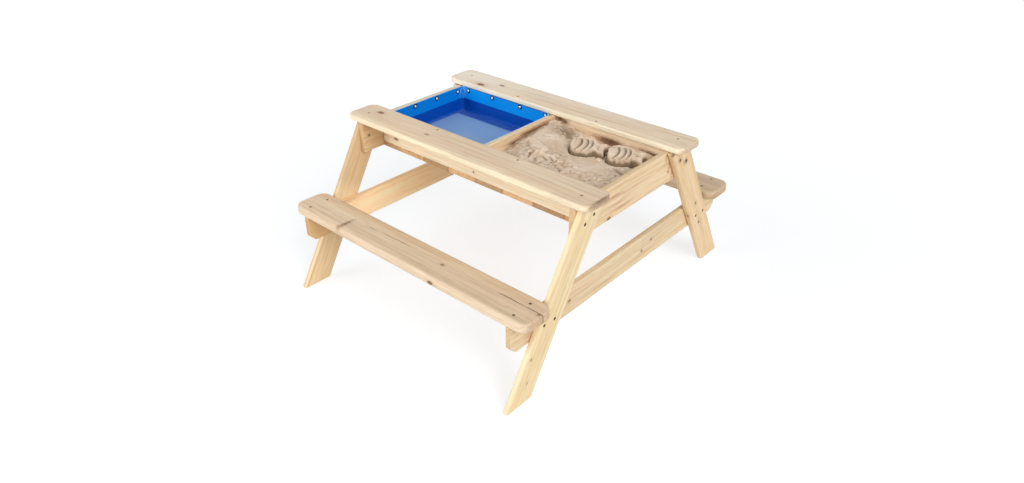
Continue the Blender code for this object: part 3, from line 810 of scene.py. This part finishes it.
def vinyl():
    finish = Finish("blue_vinyl")
    look = linerLook
    coords = finish.coords()
    along, across, height = finish.split(coords)

    def above(signal, start, steps):
        return signal.step(*[start + step for step in steps])

    cloud = finish.noise(coords, *look["cloud"])
    dry = finish.blend(cloud.step(*look["cloudSteps"]) * look["deepShare"],
                       look["blue"], look["deepBlue"])
    # the liner by the left end wall is tinted darker, a painted shade, and the tucked corner gets
    # pale streaks, a painted highlight
    shadedEndSide = 1.0 - above(along, linerLow.x, look["shadedSideSteps"])
    dry = finish.blend(shadedEndSide, dry, look["shadedSideTint"], "MULTIPLY")
    tuck = (linerLow.x, linerHigh.y, linerTop - look["puckerDrop"])
    corner = finish.away(coords, tuck, look["puckerReach"]).bell()
    puckerHighlight = finish.grown(coords, look["puckerWaves"]).step(*look["puckerSteps"])
    dry = finish.blend(puckerHighlight * corner * look["puckerHighlightShare"], dry, look["puckerHighlightBlue"])
    # painted highlight along the rim, whiter on the side by the sand
    rimHighlight = height.stepAt(linerTop - look["rimHighlight"], look["rimHighlightFade"])
    whiteHighlightSide = above(along, linerHigh.x, look["whiteHighlightSide"])
    dry = finish.blend(rimHighlight * look["rimHighlightShare"], dry,
                       finish.blend(whiteHighlightSide, look["rimHighlightBlue"], look["rimHighlightPale"]))
    rim = above(across, linerHigh.y, look["rimSide"]) * above(height, linerTop, look["rimHeight"])
    dry = finish.blend(rim * look["rimShare"], dry, look["rimShade"], "MULTIPLY")
    # under the water the walls go dark, partly as painted shade; the floor by the left and back
    # walls takes the same dark, painted shade and painted reflection of the walls
    left, back = linerLow.x + look["shoreLeft"], linerHigh.y - look["shoreBack"]
    inland = along.stepAt(left, look["shoreFade"]) \
        * (1.0 - across.stepAt(back, look["shoreFade"])) \
        * (1.0 - above(height, linerLow.z, look["shoreHeight"]))
    wetAndShade = finish.blend(inland, look["wetShadedWall"], look["wetFloor"])
    colour = finish.blend(1.0 - height.stepAt(waterTop, look["wetFade"]), dry, wetAndShade)
    crease = finish.grown(coords, *look["crease"])
    grain = finish.noise(coords, *look["grain"])
    return finish.matt(look, colour, look["roughness"] + cloud * look["cloudRoughness"],
                       crease + grain * look["grainRelief"])


def roundedOutline(low, high, radius, cornerSteps, wallSteps):
    # points round a rounded rectangle with their outward ways and distance to a corner
    points = []
    middles = [(high.x - radius, high.y - radius), (low.x + radius, high.y - radius),
               (low.x + radius, low.y + radius), (high.x - radius, low.y + radius)]
    for index, middle in enumerate(middles):
        for step in range(cornerSteps + 1):
            angle = math.radians(90 * index + 90 * step / cornerSteps)
            way = Vector((math.cos(angle), math.sin(angle)))
            points.append((Vector(middle) + way * radius, way, 0.0))
        first, way, _ = points[-1]
        last = Vector(middles[(index + 1) % 4]) + way * radius
        run = (last - first).length
        for step in range(1, wallSteps):
            share = 0.5 - 0.5 * math.cos(math.pi * step / wallSteps)
            points.append((first.lerp(last, share), way, min(share, 1 - share) * run))
    return points


def linerPiece():
    look = linerLook
    foot, floorZ = look["foot"], linerLow.z
    outline = roundedOutline(linerLow, linerHigh, look["corner"], look["cornerSteps"],
                             look["wallSteps"])
    depth = linerTop - floorZ
    rows = [(0.0, linerTop + (foot - depth) * step / look["heightSteps"])
            for step in range(look["heightSteps"] + 1)]
    for step in range(1, look["footSteps"] + 1):
        angle = math.pi / 2 * step / look["footSteps"]
        rows.append((foot * (1 - math.cos(angle)), floorZ + foot * (1 - math.sin(angle))))
    build = bmesh.new()
    rings = []
    for inset, z in rows:
        up = max(0.0, (z - floorZ - foot) / depth)
        ring = []
        for spot, way, fromCorner in outline:
            tuck = math.exp(-(fromCorner / look["tuckReach"]) ** 2) * up
            wave = (1 + math.cos(2 * math.pi * fromCorner / look["tuckPitch"])) / 2
            bulge = look["sag"] * math.sin(math.pi * up) * min(1.0, fromCorner / look["sagReach"])
            place = spot - way * (inset + look["tuck"] * tuck * wave + bulge)
            ring.append(build.verts.new((place.x, place.y, z)))
        rings.append(ring)
    bridge(build, rings)
    build.faces.new(rings[-1])
    piece = meshFrom("water_liner_vinyl", build, vinyl(), look["smooth"])
    # the open shell must face outwards before its wall gets a thickness
    mesh = piece.data
    centre = (linerLow + linerHigh) / 2
    if sum((face.center - centre).dot(face.normal) for face in mesh.polygons) < 0:
        mesh.flip_normals()
    sheet = piece.modifiers.new("sheet", "SOLIDIFY")
    sheet.thickness = look["sheet"]
    sheet.offset = -1
    return settle(piece, "water_liner", slot="blue_liner")


linerPiece()

studLook = {
    "washer": 0.0086, "washerHeight": 0.0009, "washerLip": 0.6, "washerTop": 0.9,
    "cap": 0.0042, "height": 0.0032, "capFoot": 1.4, "capFullness": 0.8, "capSteps": 7,
    "drop": 0.0100, "sides": 20, "smooth": 35, "rowSmooth": 30, "seed": 5,
    "alongX": ((-0.367, 0.001), (-0.258, 0.0), (-0.137, 0.0), (-0.031, 0.0)),  # place, how sunk
    "alongY": ((-0.145, 0.0), (-0.0495, 0.0), (0.0466, 0.001), (0.1435, 0.005)),
    # the washer ring is painted near black: painted shade and dark reflection round the cap
    "shadowRing": (rgb(0.006, 0.012, 0.035), 0.0, 0.35),    # tone, metallic, roughness
    # the cap's pale blue-white is metal partly painted as a highlight
    "chromeAndHighlight": (rgb(0.72, 0.92, 1.0), 0.35, 0.2),
    "smearScale": 500.0, "smearShare": 0.3, "smearTint": (0.7, 0.7, 0.7),
    "smearRoughness": 0.12}


def studFinish(name, tone, metal, rough):
    look = studLook
    finish = Finish(name)
    smear = finish.noise(finish.coords(), look["smearScale"])
    return finish.surface({
        "Base Color": finish.blend(smear * look["smearShare"], tone,
                                   tinted(tone, look["smearTint"])),
        "Metallic": metal, "Roughness": rough + smear * look["smearRoughness"]})


def washerProfile():
    radius, height = studLook["washer"], studLook["washerHeight"]
    return [(0, 0), (radius, 0), (radius, height * studLook["washerLip"]),
            (radius * studLook["washerTop"], height), (0, height)]


def capProfile():
    look = studLook
    radius, foot, height = look["cap"], look["washerHeight"], look["height"]
    shoulder, steps = foot * look["capFoot"], look["capSteps"]
    profile = [(0, foot), (radius, foot)]
    for step in range(steps):
        angle = math.pi / 2 * step / steps
        profile.append((radius * math.cos(angle) ** look["capFullness"],
                        shoulder + (height - shoulder) * math.sin(angle)))
    return profile + [(0, height)]


def studSpots():
    look = studLook
    drop = linerTop - look["drop"]
    inner = linerLook["sheet"] + linerLook["sag"] * 0.5    # the sheet bulges in by its sag
    centre, half = (linerLow + linerHigh) / 2, (linerHigh - linerLow) / 2
    spots = []
    for side in (-1, 1):
        endX, endY = centre.x + side * (half.x - inner), centre.y + side * (half.y - inner)
        spots += [(Vector((endX, y, drop - sunk)), Vector((-side, 0, 0)))
                  for y, sunk in look["alongY"]]
        spots += [(Vector((x, endY, drop - sunk)), Vector((0, -side, 0)))
                  for x, sunk in look["alongX"]]
    return spots


for name, profile, finish in (
        ("stud_washers", washerProfile(), studFinish("dark_rubber", *studLook["shadowRing"])),
        ("stud_caps", capProfile(), studFinish("polished_stud", *studLook["chromeAndHighlight"]))):
    solid = meshFrom(name + "_solid", turnedSolid(profile, studLook["sides"]), finish,
                     studLook["smooth"])
    row = setOut(name, tree, studSpots(), solid, 0.0, studLook["seed"], studLook["rowSmooth"])
    settle(row, slot="screw_metal")
print("liner and studs made")


# Water: its upper face mirrors the liner and the room, its hidden faces show nothing
waterLook = {
    "mirror": 0.060, "tint": rgb(0.35, 0.62, 1.0), "roughness": 0.03, "upperSteps": (0.6, 0.9),
    "rippleWaves": (18.0, 26.0, 1.0), "rippleStrength": 0.5, "ripple": 0.00015}


def water():
    look = waterLook
    finish = Finish("still_water")
    upper = finish.split(finish.facing())[2].step(*look["upperSteps"])
    ripple = finish.grown(finish.coords(), look["rippleWaves"])
    return finish.surface({
        "Base Color": look["tint"], "Metallic": 1.0, "Roughness": look["roughness"],
        "Alpha": upper * look["mirror"],
        "Normal": finish.bump(ripple, look["rippleStrength"], look["ripple"])})


waterSlots = nodes["water_fill"].data.materials
waterSlots.clear()
waterSlots.append(water())
print("water finished")


# Sand: mounds and hollows as the frame has them, fish castings, lumps and grains
sandLow, sandHigh = corners("sand_fill")
wellLength = sandHigh.x - sandLow.x
wellWidth = sandHigh.y - sandLow.y
sandLook = {
    "depth": 0.055, "relief": 0.020, "cell": 0.00128, "smooth": 75,
    "over": 0.0005,                    # how far it may stand over its solid
    "noises": {  # size in metres and seed
        "swell": (0.040, 21), "clods": (0.020, 22), "crumbs": (0.008, 23),
        "fine": (0.0040, 24), "grains": (0.0020, 25), "cracks": (0.026, 26),
        "crackPlaces": (0.050, 27), "ragged": (0.008, 28),
        "crumble": (0.010, 31), "fineCrumble": (0.005, 32)},
    "roughEdge": 0.30, "roughFade": 0.5,    # loose on the near side, across the well
    "calm": (0.262, 0.002), "calmReach": (0.055, 0.036), "calmShare": 0.85,
    "swell": 0.0032, "swellLeast": 0.4, "clods": 0.0030, "clodFloor": 0.03,
    "crumbs": 0.0010, "crumbLeast": 0.25, "crackWidth": 0.13, "crackPlaces": (0.05, 0.5),
    "cracks": 0.0030, "crackLeast": 0.15, "ragged": 0.35, "lumpSteps": (0.55, 1.05),
    "fine": 0.00035, "grains": 0.00022}
paintedShadeLook = {  # painted shade in hollows and on steep sides, painted light on crests
    "fineReach": 2, "fineDepth": 0.0013, "fineLimits": (-0.8, 1.2), "fineShare": 0.5,
    "wideReach": 6, "wideDepth": 0.0040, "wideLimits": (-0.5, 1.2), "wideShare": 0.60,
    "slopeSteps": (0.5, 2.4), "slopeShare": 0.45}
moundShares = (
    (0.02, 0.74, 1.05, 0.34), (0.05, 0.10, 0.35, 0.30), (0.52, 1.00, -0.62, 0.20),
    (0.80, 1.00, 0.40, 0.16), (0.99, 0.90, -0.10, 0.12), (0.30, -0.60, 0.22, 0.26),
    (0.72, -0.75, -0.28, 0.30), (0.99, -0.30, 0.18, 0.24))
fishLook = {
    "length": 0.110, "width": 0.084, "height": 0.025, "rise": 0.017,
    "heading": math.radians(20), "tilt": math.radians(7),
    "places": ((0.496, 0.465), (0.800, 0.577)),
    "wall": 0.0040, "edge": 0.0036, "edgeRoll": 0.35, "crumble": 0.0016, "fineCrumble": 0.0005,
    "grooves": (-0.705, -0.532, -0.405), "groove": 0.0056, "arc": 0.058, "lower": -0.003,
    "span": math.radians(41), "spanFade": 0.80, "gentle": 0.0070, "steep": 0.0032,
    "lip": 0.0012, "lipPlace": 0.0048, "lipWidth": 0.0020, "grooveShade": 0.38,
    "tail": (0.24, 0.30), "tailRays": (-0.3, 0.0, 0.3), "rayWidth": 0.07, "rayDepth": 0.0024,
    "sink": (0.12, 0.30), "sinkDepth": 0.006,           # towards the tail
    "eye": (-0.375, 0.43), "eyeRadius": 0.0034, "eyeDepth": 0.0028, "eyeShade": 1.4,
    "eyeRim": 0.0010, "eyeRimPlace": 1.7, "eyeRimWidth": 0.5,
    # painted shade on the near side, painted light on the far side; the groove and eye shares
    # above are painted shade too
    "nearShade": 0.52, "nearReach": 0.0080, "nearSteps": (0.006, 0.022),
    "farLight": 0.40, "farReach": 0.0070, "farSteps": (-0.022, 0.004),
    "moat": 0.0012, "nearMoat": 0.0070, "moatReach": 0.0040, "moatSteps": (0.006, 0.03)}
fishShares = (
    (-0.50, 0.00), (-0.48, 0.36), (-0.42, 0.66), (-0.32, 0.90), (-0.19, 1.00),
    (-0.05, 0.98), (0.07, 0.86), (0.15, 0.70), (0.21, 0.54), (0.28, 0.52),
    (0.38, 0.64), (0.47, 0.68), (0.50, 0.54), (0.46, 0.00))
lumps = (  # clods left by fingers, in millimetres: x, y, radius, height
    (113, -10, 14, 4.5), (156, -18, 12, 5), (187, -34, 10, 4.5), (237, -75, 14, 5),
    (239, -32, 9, 3.5), (296, -40, 11, 3.5), (338, -51, 12, 3.5), (145, -71, 13, 4.5),
    (90, -49, 10, 4), (168, -60, 9, 4), (205, -58, 10, 4), (128, -44, 10, 3.5), (258, 52, 10, 4.5),
    (262, 78, 8, 4.5), (252, 100, 8, 4))
dents = (  # strokes pressed in, or heaped if below zero: both ends, half width, depth, mm
    (354, 72, 347, 128, 5, 11), (50, 158, 112, 115, 20, 12), (247, 62, 240, 98, 4, 8),
    (172, -46, 150, -36, 3, 4), (232, 68, 263, 100, 3.5, 6), (246, 58, 256, 76, 3, 6),
    (44, -4, 70, -28, 5, 2.2), (96, -56, 114, -87, 5, 4), (116, -84, 115, -50, 9, -6.5),
    (117, -46, 160, -32, 9, -7), (120, -36, 158, -21, 4.5, 3), (124, -95, 185, -95, 5.5, 5),
    (190, -62, 222, -76, 4.5, 3.4), (60, 50, 74, 58, 4.5, 3), (12, 125, 12, -50, 13, 10),
    (20, -80, 80, -110, 16, 4), (330, 36, 382, 12, 9, 6), (70, 10, 105, 0, 12, -4))
shades = (  # darker or paler places, partly painted shade: x, y, radius, how much
    (0.082, 0.130, 0.042, 0.85), (0.262, 0.000, 0.036, -0.50), (0.242, 0.082, 0.018, 0.40),
    (0.350, 0.026, 0.028, 0.55), (0.080, 0.010, 0.026, -0.25), (0.352, 0.110, 0.020, 0.35),
    (0.385, -0.060, 0.018, 0.50), (0.150, -0.105, 0.034, 0.30), (0.045, -0.055, 0.046, 0.35),
    (0.150, 0.020, 0.050, 0.15), (0.180, -0.060, 0.030, 0.15))


def bell(value):
    return np.exp(-value ** 2)


def smooth(value, low, high):
    t = np.clip((value - low) / (high - low), 0, 1)
    return t * t * (3 - 2 * t)


def sandHeight(along, across):
    rise = np.zeros_like(along)
    for moundAlong, moundAcross, height, radius in moundShares:
        run = (along - moundAlong) * wellLength
        side = (across - moundAcross) * wellWidth / 2
        rise = rise + height * bell(np.hypot(run, side) / (radius * wellWidth))
    return rise * sandLook["relief"]


def sandNoise(x, y, kind):
    # smooth noise of one size from a seeded lattice, about -1 to 1
    size, seed = sandLook["noises"][kind]
    chance = np.random.default_rng(seed)
    columns = int(math.ceil(wellLength / size)) + 4
    rows = int(math.ceil(wellWidth / size)) + 4
    lattice = chance.uniform(-1, 1, (columns, rows))
    u = (x - sandLow.x) / size + 1
    v = (y - sandLow.y) / size + 1
    i = np.clip(np.floor(u).astype(int), 0, columns - 2)
    j = np.clip(np.floor(v).astype(int), 0, rows - 2)
    fu, fv = smooth(u - i, 0, 1), smooth(v - j, 0, 1)
    low = lattice[i, j] * (1 - fu) + lattice[i + 1, j] * fu
    high = lattice[i, j + 1] * (1 - fu) + lattice[i + 1, j + 1] * fu
    return low * (1 - fv) + high * fv


def strokeDistance(x, y, ax, ay, bx, by):
    # distance from the straight stroke between two plan points
    dx, dy = bx - ax, by - ay
    t = np.clip(((x - ax) * dx + (y - ay) * dy) / (dx * dx + dy * dy), 0, 1)
    return np.hypot(x - ax - t * dx, y - ay - t * dy)


def insideDistance(u, v, outline):
    # signed distance to a closed outline, positive inside
    best = np.full(u.shape, np.inf)
    inside = np.zeros(u.shape, bool)
    for (ax, ay), (bx, by) in zip(outline, outline[1:] + outline[:1]):
        best = np.minimum(best, strokeDistance(u, v, ax, ay, bx, by))
        crosses = (ay > v) != (by > v)
        with np.errstate(divide="ignore", invalid="ignore"):
            crossing = ax + (v - ay) * (bx - ax) / (by - ay)
        inside ^= crosses & (u < crossing)
    return np.where(inside, best, -best)


def smoothOutline(points, steps=5):
    # closed curve through the outline's points
    result = []
    count = len(points)
    for index in range(count):
        p0, p1, p2, p3 = (np.array(points[(index + k) % count]) for k in (-1, 0, 1, 2))
        for step in range(steps):
            t = step / steps
            spot = 0.5 * (2 * p1 + (p2 - p0) * t + (2 * p0 - 5 * p1 + 4 * p2 - p3) * t * t
                          + (3 * p1 - 3 * p2 + p3 - p0) * t ** 3)
            result.append((float(spot[0]), float(spot[1])))
    return result


def blurred(field, reach):
    # mean over a square of neighbours, by running sums
    for axis in (0, 1):
        margins = [(reach + 1, reach) if side == axis else (0, 0) for side in (0, 1)]
        total = np.cumsum(np.pad(field, margins, mode="edge"), axis=axis)
        count = field.shape[axis]
        field = (np.take(total, range(2 * reach + 1, 2 * reach + 1 + count), axis)
                 - np.take(total, range(count), axis)) / (2 * reach + 1)
    return field


def pressGrooves(u, v, crown):
    # each groove falls gently from the head's side and rises steeply behind
    look = fishLook
    cuts = np.zeros_like(u)
    for share in look["grooves"]:
        centre = share * look["length"]
        away = np.hypot(u - centre, v - look["lower"]) - look["arc"]
        turn = np.abs(np.arctan2(v - look["lower"], u - centre))
        reach = 1 - smooth(turn, look["span"] * look["spanFade"], look["span"])
        cut = bell(away / np.where(away < 0, look["gentle"], look["steep"])) * reach
        crown = crown - look["groove"] * cut
        crown = crown + look["lip"] * bell((away - look["lipPlace"]) / look["lipWidth"]) * reach
        cuts += cut
    return crown, cuts


def pressTail(u, v, crown):
    look = fishLook
    length = look["length"]
    tail = smooth(u, look["tail"][0] * length, look["tail"][1] * length)
    for offset in look["tailRays"]:
        ray = (v / (look["width"] / 2) - offset) / look["rayWidth"]
        crown = crown - look["rayDepth"] * bell(ray) * tail
    return crown - look["sinkDepth"] * smooth(u, look["sink"][0] * length,
                                              look["sink"][1] * length)


def pressFish(x, y, surface):
    # the two castings and the moats round them, and the painted shade and light on them
    look = fishLook
    upper = [(u * look["length"], v * look["width"] / 2) for u, v in fishShares]
    outline = smoothOutline(upper + [(u, -v) for u, v in reversed(upper[1:-1])])
    crumble = sandNoise(x, y, "crumble") * look["crumble"] \
        + sandNoise(x, y, "fineCrumble") * look["fineCrumble"]
    cos, sin = math.cos(look["heading"]), math.sin(look["heading"])
    eyeU, eyeV = look["eye"][0] * look["length"], look["eye"][1] * look["width"] / 2
    wetAndShade = np.zeros_like(x)
    for along, across in look["places"]:
        px = sandLow.x + along * wellLength
        py = (sandLow.y + sandHigh.y) / 2 + across * wellWidth / 2
        u = (x - px) * cos + (y - py) * sin
        v = -(x - px) * sin + (y - py) * cos
        ground = float(sandHeight(np.array([along]), np.array([across]))[0])
        crownTop = sandLow.z + sandLook["depth"] + ground + look["height"]
        inside = insideDistance(u, v, outline) + crumble
        body = smooth(inside, 0.0, look["wall"])
        bowl = 1 - (u / look["length"]) ** 2 - (v / look["width"]) ** 2
        crown = crownTop - look["rise"] * (1 - np.sqrt(np.clip(bowl, 0, 1)))
        roll = np.clip(1 - inside / look["edge"], 0, 1)
        crown = crown + v * math.tan(look["tilt"]) - look["edge"] * look["edgeRoll"] * roll ** 2
        crown, cuts = pressGrooves(u, v, crown)
        crown = pressTail(u, v, crown)
        eye = np.hypot(u - eyeU, v - eyeV) / look["eyeRadius"]
        crown = crown + look["eyeRim"] * bell((eye - look["eyeRimPlace"]) / look["eyeRimWidth"])
        crown = crown - look["eyeDepth"] * bell(eye)
        # painted shade on the near side, in the grooves and in the eye; painted light on the far
        # side
        wetAndShade += look["nearShade"] * bell(inside / look["nearReach"]) * (inside > 0) \
            * smooth(-v, *look["nearSteps"])
        wetAndShade -= look["farLight"] * bell(inside / look["farReach"]) * (inside < 0) \
            * smooth(v, *look["farSteps"])
        wetAndShade += look["grooveShade"] * cuts * body + look["eyeShade"] * bell(eye ** 2)
        # a moat where the mould was pressed down and lifted, deepest on the near side
        moat = bell(inside / look["moatReach"]) * (inside < 0)
        surface = surface - (look["moat"] + look["nearMoat"]
                             * smooth(-v, *look["moatSteps"])) * moat
        surface = surface * (1 - body) + np.maximum(crown, surface) * body
    return surface, wetAndShade


def dampness(x, y, surface):
    look = paintedShadeLook
    # painted shade in hollows and on steep sides, painted light on crests, and at the listed
    # places
    fine = blurred(surface, look["fineReach"]) - surface
    wide = blurred(blurred(surface, look["wideReach"]), look["wideReach"]) - surface
    slopes = np.hypot(*np.gradient(surface, sandLook["cell"]))
    dampAndShade = blurred(np.clip(fine / look["fineDepth"], *look["fineLimits"])
                   * look["fineShare"], 1) \
        + np.clip(wide / look["wideDepth"], *look["wideLimits"]) * look["wideShare"] \
        + blurred(smooth(slopes, *look["slopeSteps"]), 1) * look["slopeShare"]
    for shadeX, shadeY, radius, share in shades:
        dampAndShade += share * bell(np.hypot(x - shadeX, y - shadeY) / radius)
    return dampAndShade


def heapSand(x, y):
    # the height of the sand over the well, and the painted shade on it
    look = sandLook
    across = 2 * (y - sandLow.y) / wellWidth - 1
    surface = sandLow.z + look["depth"] + sandHeight((x - sandLow.x) / wellLength, across)
    # loose clods and cracks on the near side, left by fingers
    rough = smooth(look["roughEdge"] - across, 0.0, look["roughFade"])
    (calmX, calmY), (reachX, reachY) = look["calm"], look["calmReach"]
    rough *= 1 - look["calmShare"] * bell((x - calmX) / reachX) * bell((y - calmY) / reachY)
    surface += sandNoise(x, y, "swell") * look["swell"] * (look["swellLeast"] + rough)
    surface += np.sqrt(sandNoise(x, y, "clods") ** 2 + look["clodFloor"]) * look["clods"] * rough
    surface += sandNoise(x, y, "crumbs") * look["crumbs"] * (look["crumbLeast"] + rough)
    crack = bell(sandNoise(x, y, "cracks") / look["crackWidth"])
    crack *= smooth(sandNoise(x, y, "crackPlaces"), *look["crackPlaces"])
    surface -= crack * look["cracks"] * (look["crackLeast"] + rough)
    ragged = 1 + sandNoise(x, y, "ragged") * look["ragged"]
    for lump in lumps:
        lumpX, lumpY, radius, height = (value / 1000 for value in lump)
        away = np.hypot(x - lumpX, y - lumpY) / (radius * ragged)
        surface += height * (1 - smooth(away, *look["lumpSteps"]))
    for dent in dents:
        *ends, half, depth = (value / 1000 for value in dent)
        surface -= depth * bell(strokeDistance(x, y, *ends) / (half * ragged))
    pressed, wetAndShade = pressFish(x, y, surface)
    surface = np.minimum(pressed, sandHigh.z + look["over"])
    dampAndShade = dampness(x, y, surface) + wetAndShade
    surface += sandNoise(x, y, "fine") * look["fine"] + sandNoise(x, y, "grains") * look["grains"]
    return surface, dampAndShade


def sandPiece(material):
    columns = round(wellLength / sandLook["cell"])
    rows = round(wellWidth / sandLook["cell"])
    x, y = np.meshgrid(np.linspace(sandLow.x, sandHigh.x, columns + 1),
                       np.linspace(sandLow.y, sandHigh.y, rows + 1), indexing="ij")
    surface, dampAndShade = heapSand(x, y)
    verts = np.column_stack((x.ravel(), y.ravel(), surface.ravel()))
    count = len(verts)
    index = np.arange(count).reshape(columns + 1, rows + 1)
    quads = np.column_stack((index[:-1, :-1].ravel(), index[1:, :-1].ravel(),
                             index[1:, 1:].ravel(), index[:-1, 1:].ravel()))
    faces = quads.tolist()
    # straight sides down to the floor of the well, and a bottom
    rim = list(index[:, 0]) + list(index[-1, 1:]) + list(index[-2::-1, -1]) \
        + list(index[0, -2:0:-1])
    foot = [(float(verts[i][0]), float(verts[i][1]), sandLow.z) for i in rim]
    for step in range(len(rim)):
        after = (step + 1) % len(rim)
        faces.append((int(rim[after]), int(rim[step]), count + step, count + after))
    faces.append(tuple(count + step for step in reversed(range(len(rim)))))
    mesh = bpy.data.meshes.new("sand_surface")
    mesh.from_pydata(verts.tolist() + foot, [], faces)
    values = mesh.attributes.new("dampAndShade", "FLOAT", "POINT").data
    values.foreach_set("value", np.append(dampAndShade.ravel(), np.ones(len(foot))))
    shadeSmooth(mesh, sandLook["smooth"])
    mesh.materials.append(material)
    return settle(bringIn("sand_surface", mesh), "sand_fill", slot="damp_sand")


grainLook = {  # each noise: waves a metre, detail, roughness
    "dry": rgb(0.74, 0.565, 0.40), "dampAndShade": rgb(0.40, 0.29, 0.18), "pale": rgb(0.90, 0.75, 0.60),
    # the first tone below is the dark that painted shade blends to
    "wetAndShade": rgb(0.20, 0.135, 0.070), "cloud": (22.0, 4.0, 0.6), "cloudSteps": (0.3, 0.75),
    "grain": (1500.0, 2.0, 0.6), "grainSteps": (0.50, 0.72), "grainShare": 0.60,
    "speck": (620.0,), "speckSteps": (0.58, 0.72), "speckShare": 0.45,
    "raggedShadeAndDamp": 0.3, "paintedLightReach": -0.75, "paintedShadeReach": 0.85, "paintedShadeShare": 0.9,
    "speckRelief": 0.8, "reliefStrength": 0.8, "relief": 0.0006,
    "roughness": 0.88, "grainRoughness": 0.1, "specular": 0.25}


def sandFinish():
    look = grainLook
    finish = Finish("play_sand")
    coords = finish.coords()
    grains = finish.noise(coords, *look["grain"])
    speck = finish.noise(coords, *look["speck"])
    cloud = finish.noise(coords, *look["cloud"])
    colour = finish.blend(cloud.step(*look["cloudSteps"]), look["dry"], look["pale"])
    colour = finish.blend(grains.step(*look["grainSteps"]) * look["grainShare"], colour,
                          look["dampAndShade"])
    colour = finish.blend(speck.step(*look["speckSteps"]) * look["speckShare"], colour,
                          look["dampAndShade"])
    dampAndShade = finish.node("Attribute", {"attribute_name": "dampAndShade"}, out=2) \
        + (grains - 0.5) * look["raggedShadeAndDamp"]
    # negative values paint crests pale, a painted light; positive values paint hollows and steep
    # sides dark, a painted shade
    colour = finish.blend((dampAndShade * look["paintedLightReach"]).clamped(), colour, look["pale"])
    colour = finish.blend((dampAndShade * look["paintedShadeReach"]).clamped() * look["paintedShadeShare"], colour,
                          look["wetAndShade"])
    return finish.matt(look, colour, look["roughness"] + grains * look["grainRoughness"],
                       grains + speck * look["speckRelief"])


sandPiece(sandFinish())
print("sand heaped")


# Room, lamps and camera
room = {
    "floorSize": 14.0, "floorDrop": 0.0005, "floorRoughness": 0.9,
    "floorTone": rgb(0.92, 0.92, 0.92), "shownTone": rgb(0.44, 0.475, 0.51),
    "shownGlow": 0.65, "white": rgb(1, 1, 1), "black": rgb(0, 0, 0), "ambient": 0.40}
lamps = {
    "keyRight": {"from": (0.809, -0.254, 0.530), "strength": 1.60, "spread": math.radians(34)},
    "fillFront": {"from": (-0.40, -0.86, 0.31), "strength": 1.57, "spread": math.radians(44)},
}
view = {
    "eye": (1.3753, -1.5873, 1.3853), "aim": (0.1733, -0.2227, 0.27),
    "lens": 26.82, "sensor": 36.0}


def floorFinish():
    # pale for the light it sends up; white with a faint shadow where it is seen or mirrored
    finish = Finish("studio_floor")
    seen = finish.seen()
    return finish.surface({
        "Base Color": finish.blend(seen, room["floorTone"], room["shownTone"]),
        "Roughness": room["floorRoughness"], "Specular IOR Level": 0.0,
        "Emission Color": finish.blend(seen, room["black"], room["white"]),
        "Emission Strength": room["shownGlow"]})


def studioSky():
    # soft light on the object, plain white where it is seen or mirrored
    sky = Finish("studio", bpy.data.worlds.new("studio"))
    soft = sky.node("Background", {}, {"Color": room["white"], "Strength": room["ambient"]})
    white = sky.node("Background", {}, {"Color": room["white"]})
    return sky.show(sky.node("MixShader", {}, {0: sky.seen(), 1: soft, 2: white}))


def buildRoom():
    half = room["floorSize"] / 2
    build = bmesh.new()
    build.faces.new([build.verts.new((x, y, 0)) for x, y in
                     ((-half, -half), (half, -half), (half, half), (-half, half))])
    floor = meshFrom("studio_floor", build, floorFinish())
    floor.location.z = -room["floorDrop"]
    bpy.context.scene.world = studioSky()


def lookingAlong(way):
    return Vector(way).to_track_quat("-Z", "Y").to_euler()


def hangLamps():
    for name, lamp in lamps.items():
        sun = bpy.data.lights.new(name, "SUN")
        sun.energy = lamp["strength"]
        sun.angle = lamp["spread"]
        bringIn(name, sun).rotation_euler = lookingAlong(-Vector(lamp["from"]))


def standCamera():
    lens = bpy.data.cameras.new("view")
    lens.lens = view["lens"]
    lens.sensor_width = view["sensor"]
    lens.sensor_fit = "HORIZONTAL"
    camera = bringIn("view", lens)
    camera.location = view["eye"]
    camera.rotation_euler = lookingAlong(Vector(view["aim"]) - Vector(view["eye"]))
    bpy.context.scene.camera = camera


buildRoom()
hangLamps()
standCamera()
bpy.context.scene.view_settings.view_transform = "Standard"
print("room, lamps and camera ready")
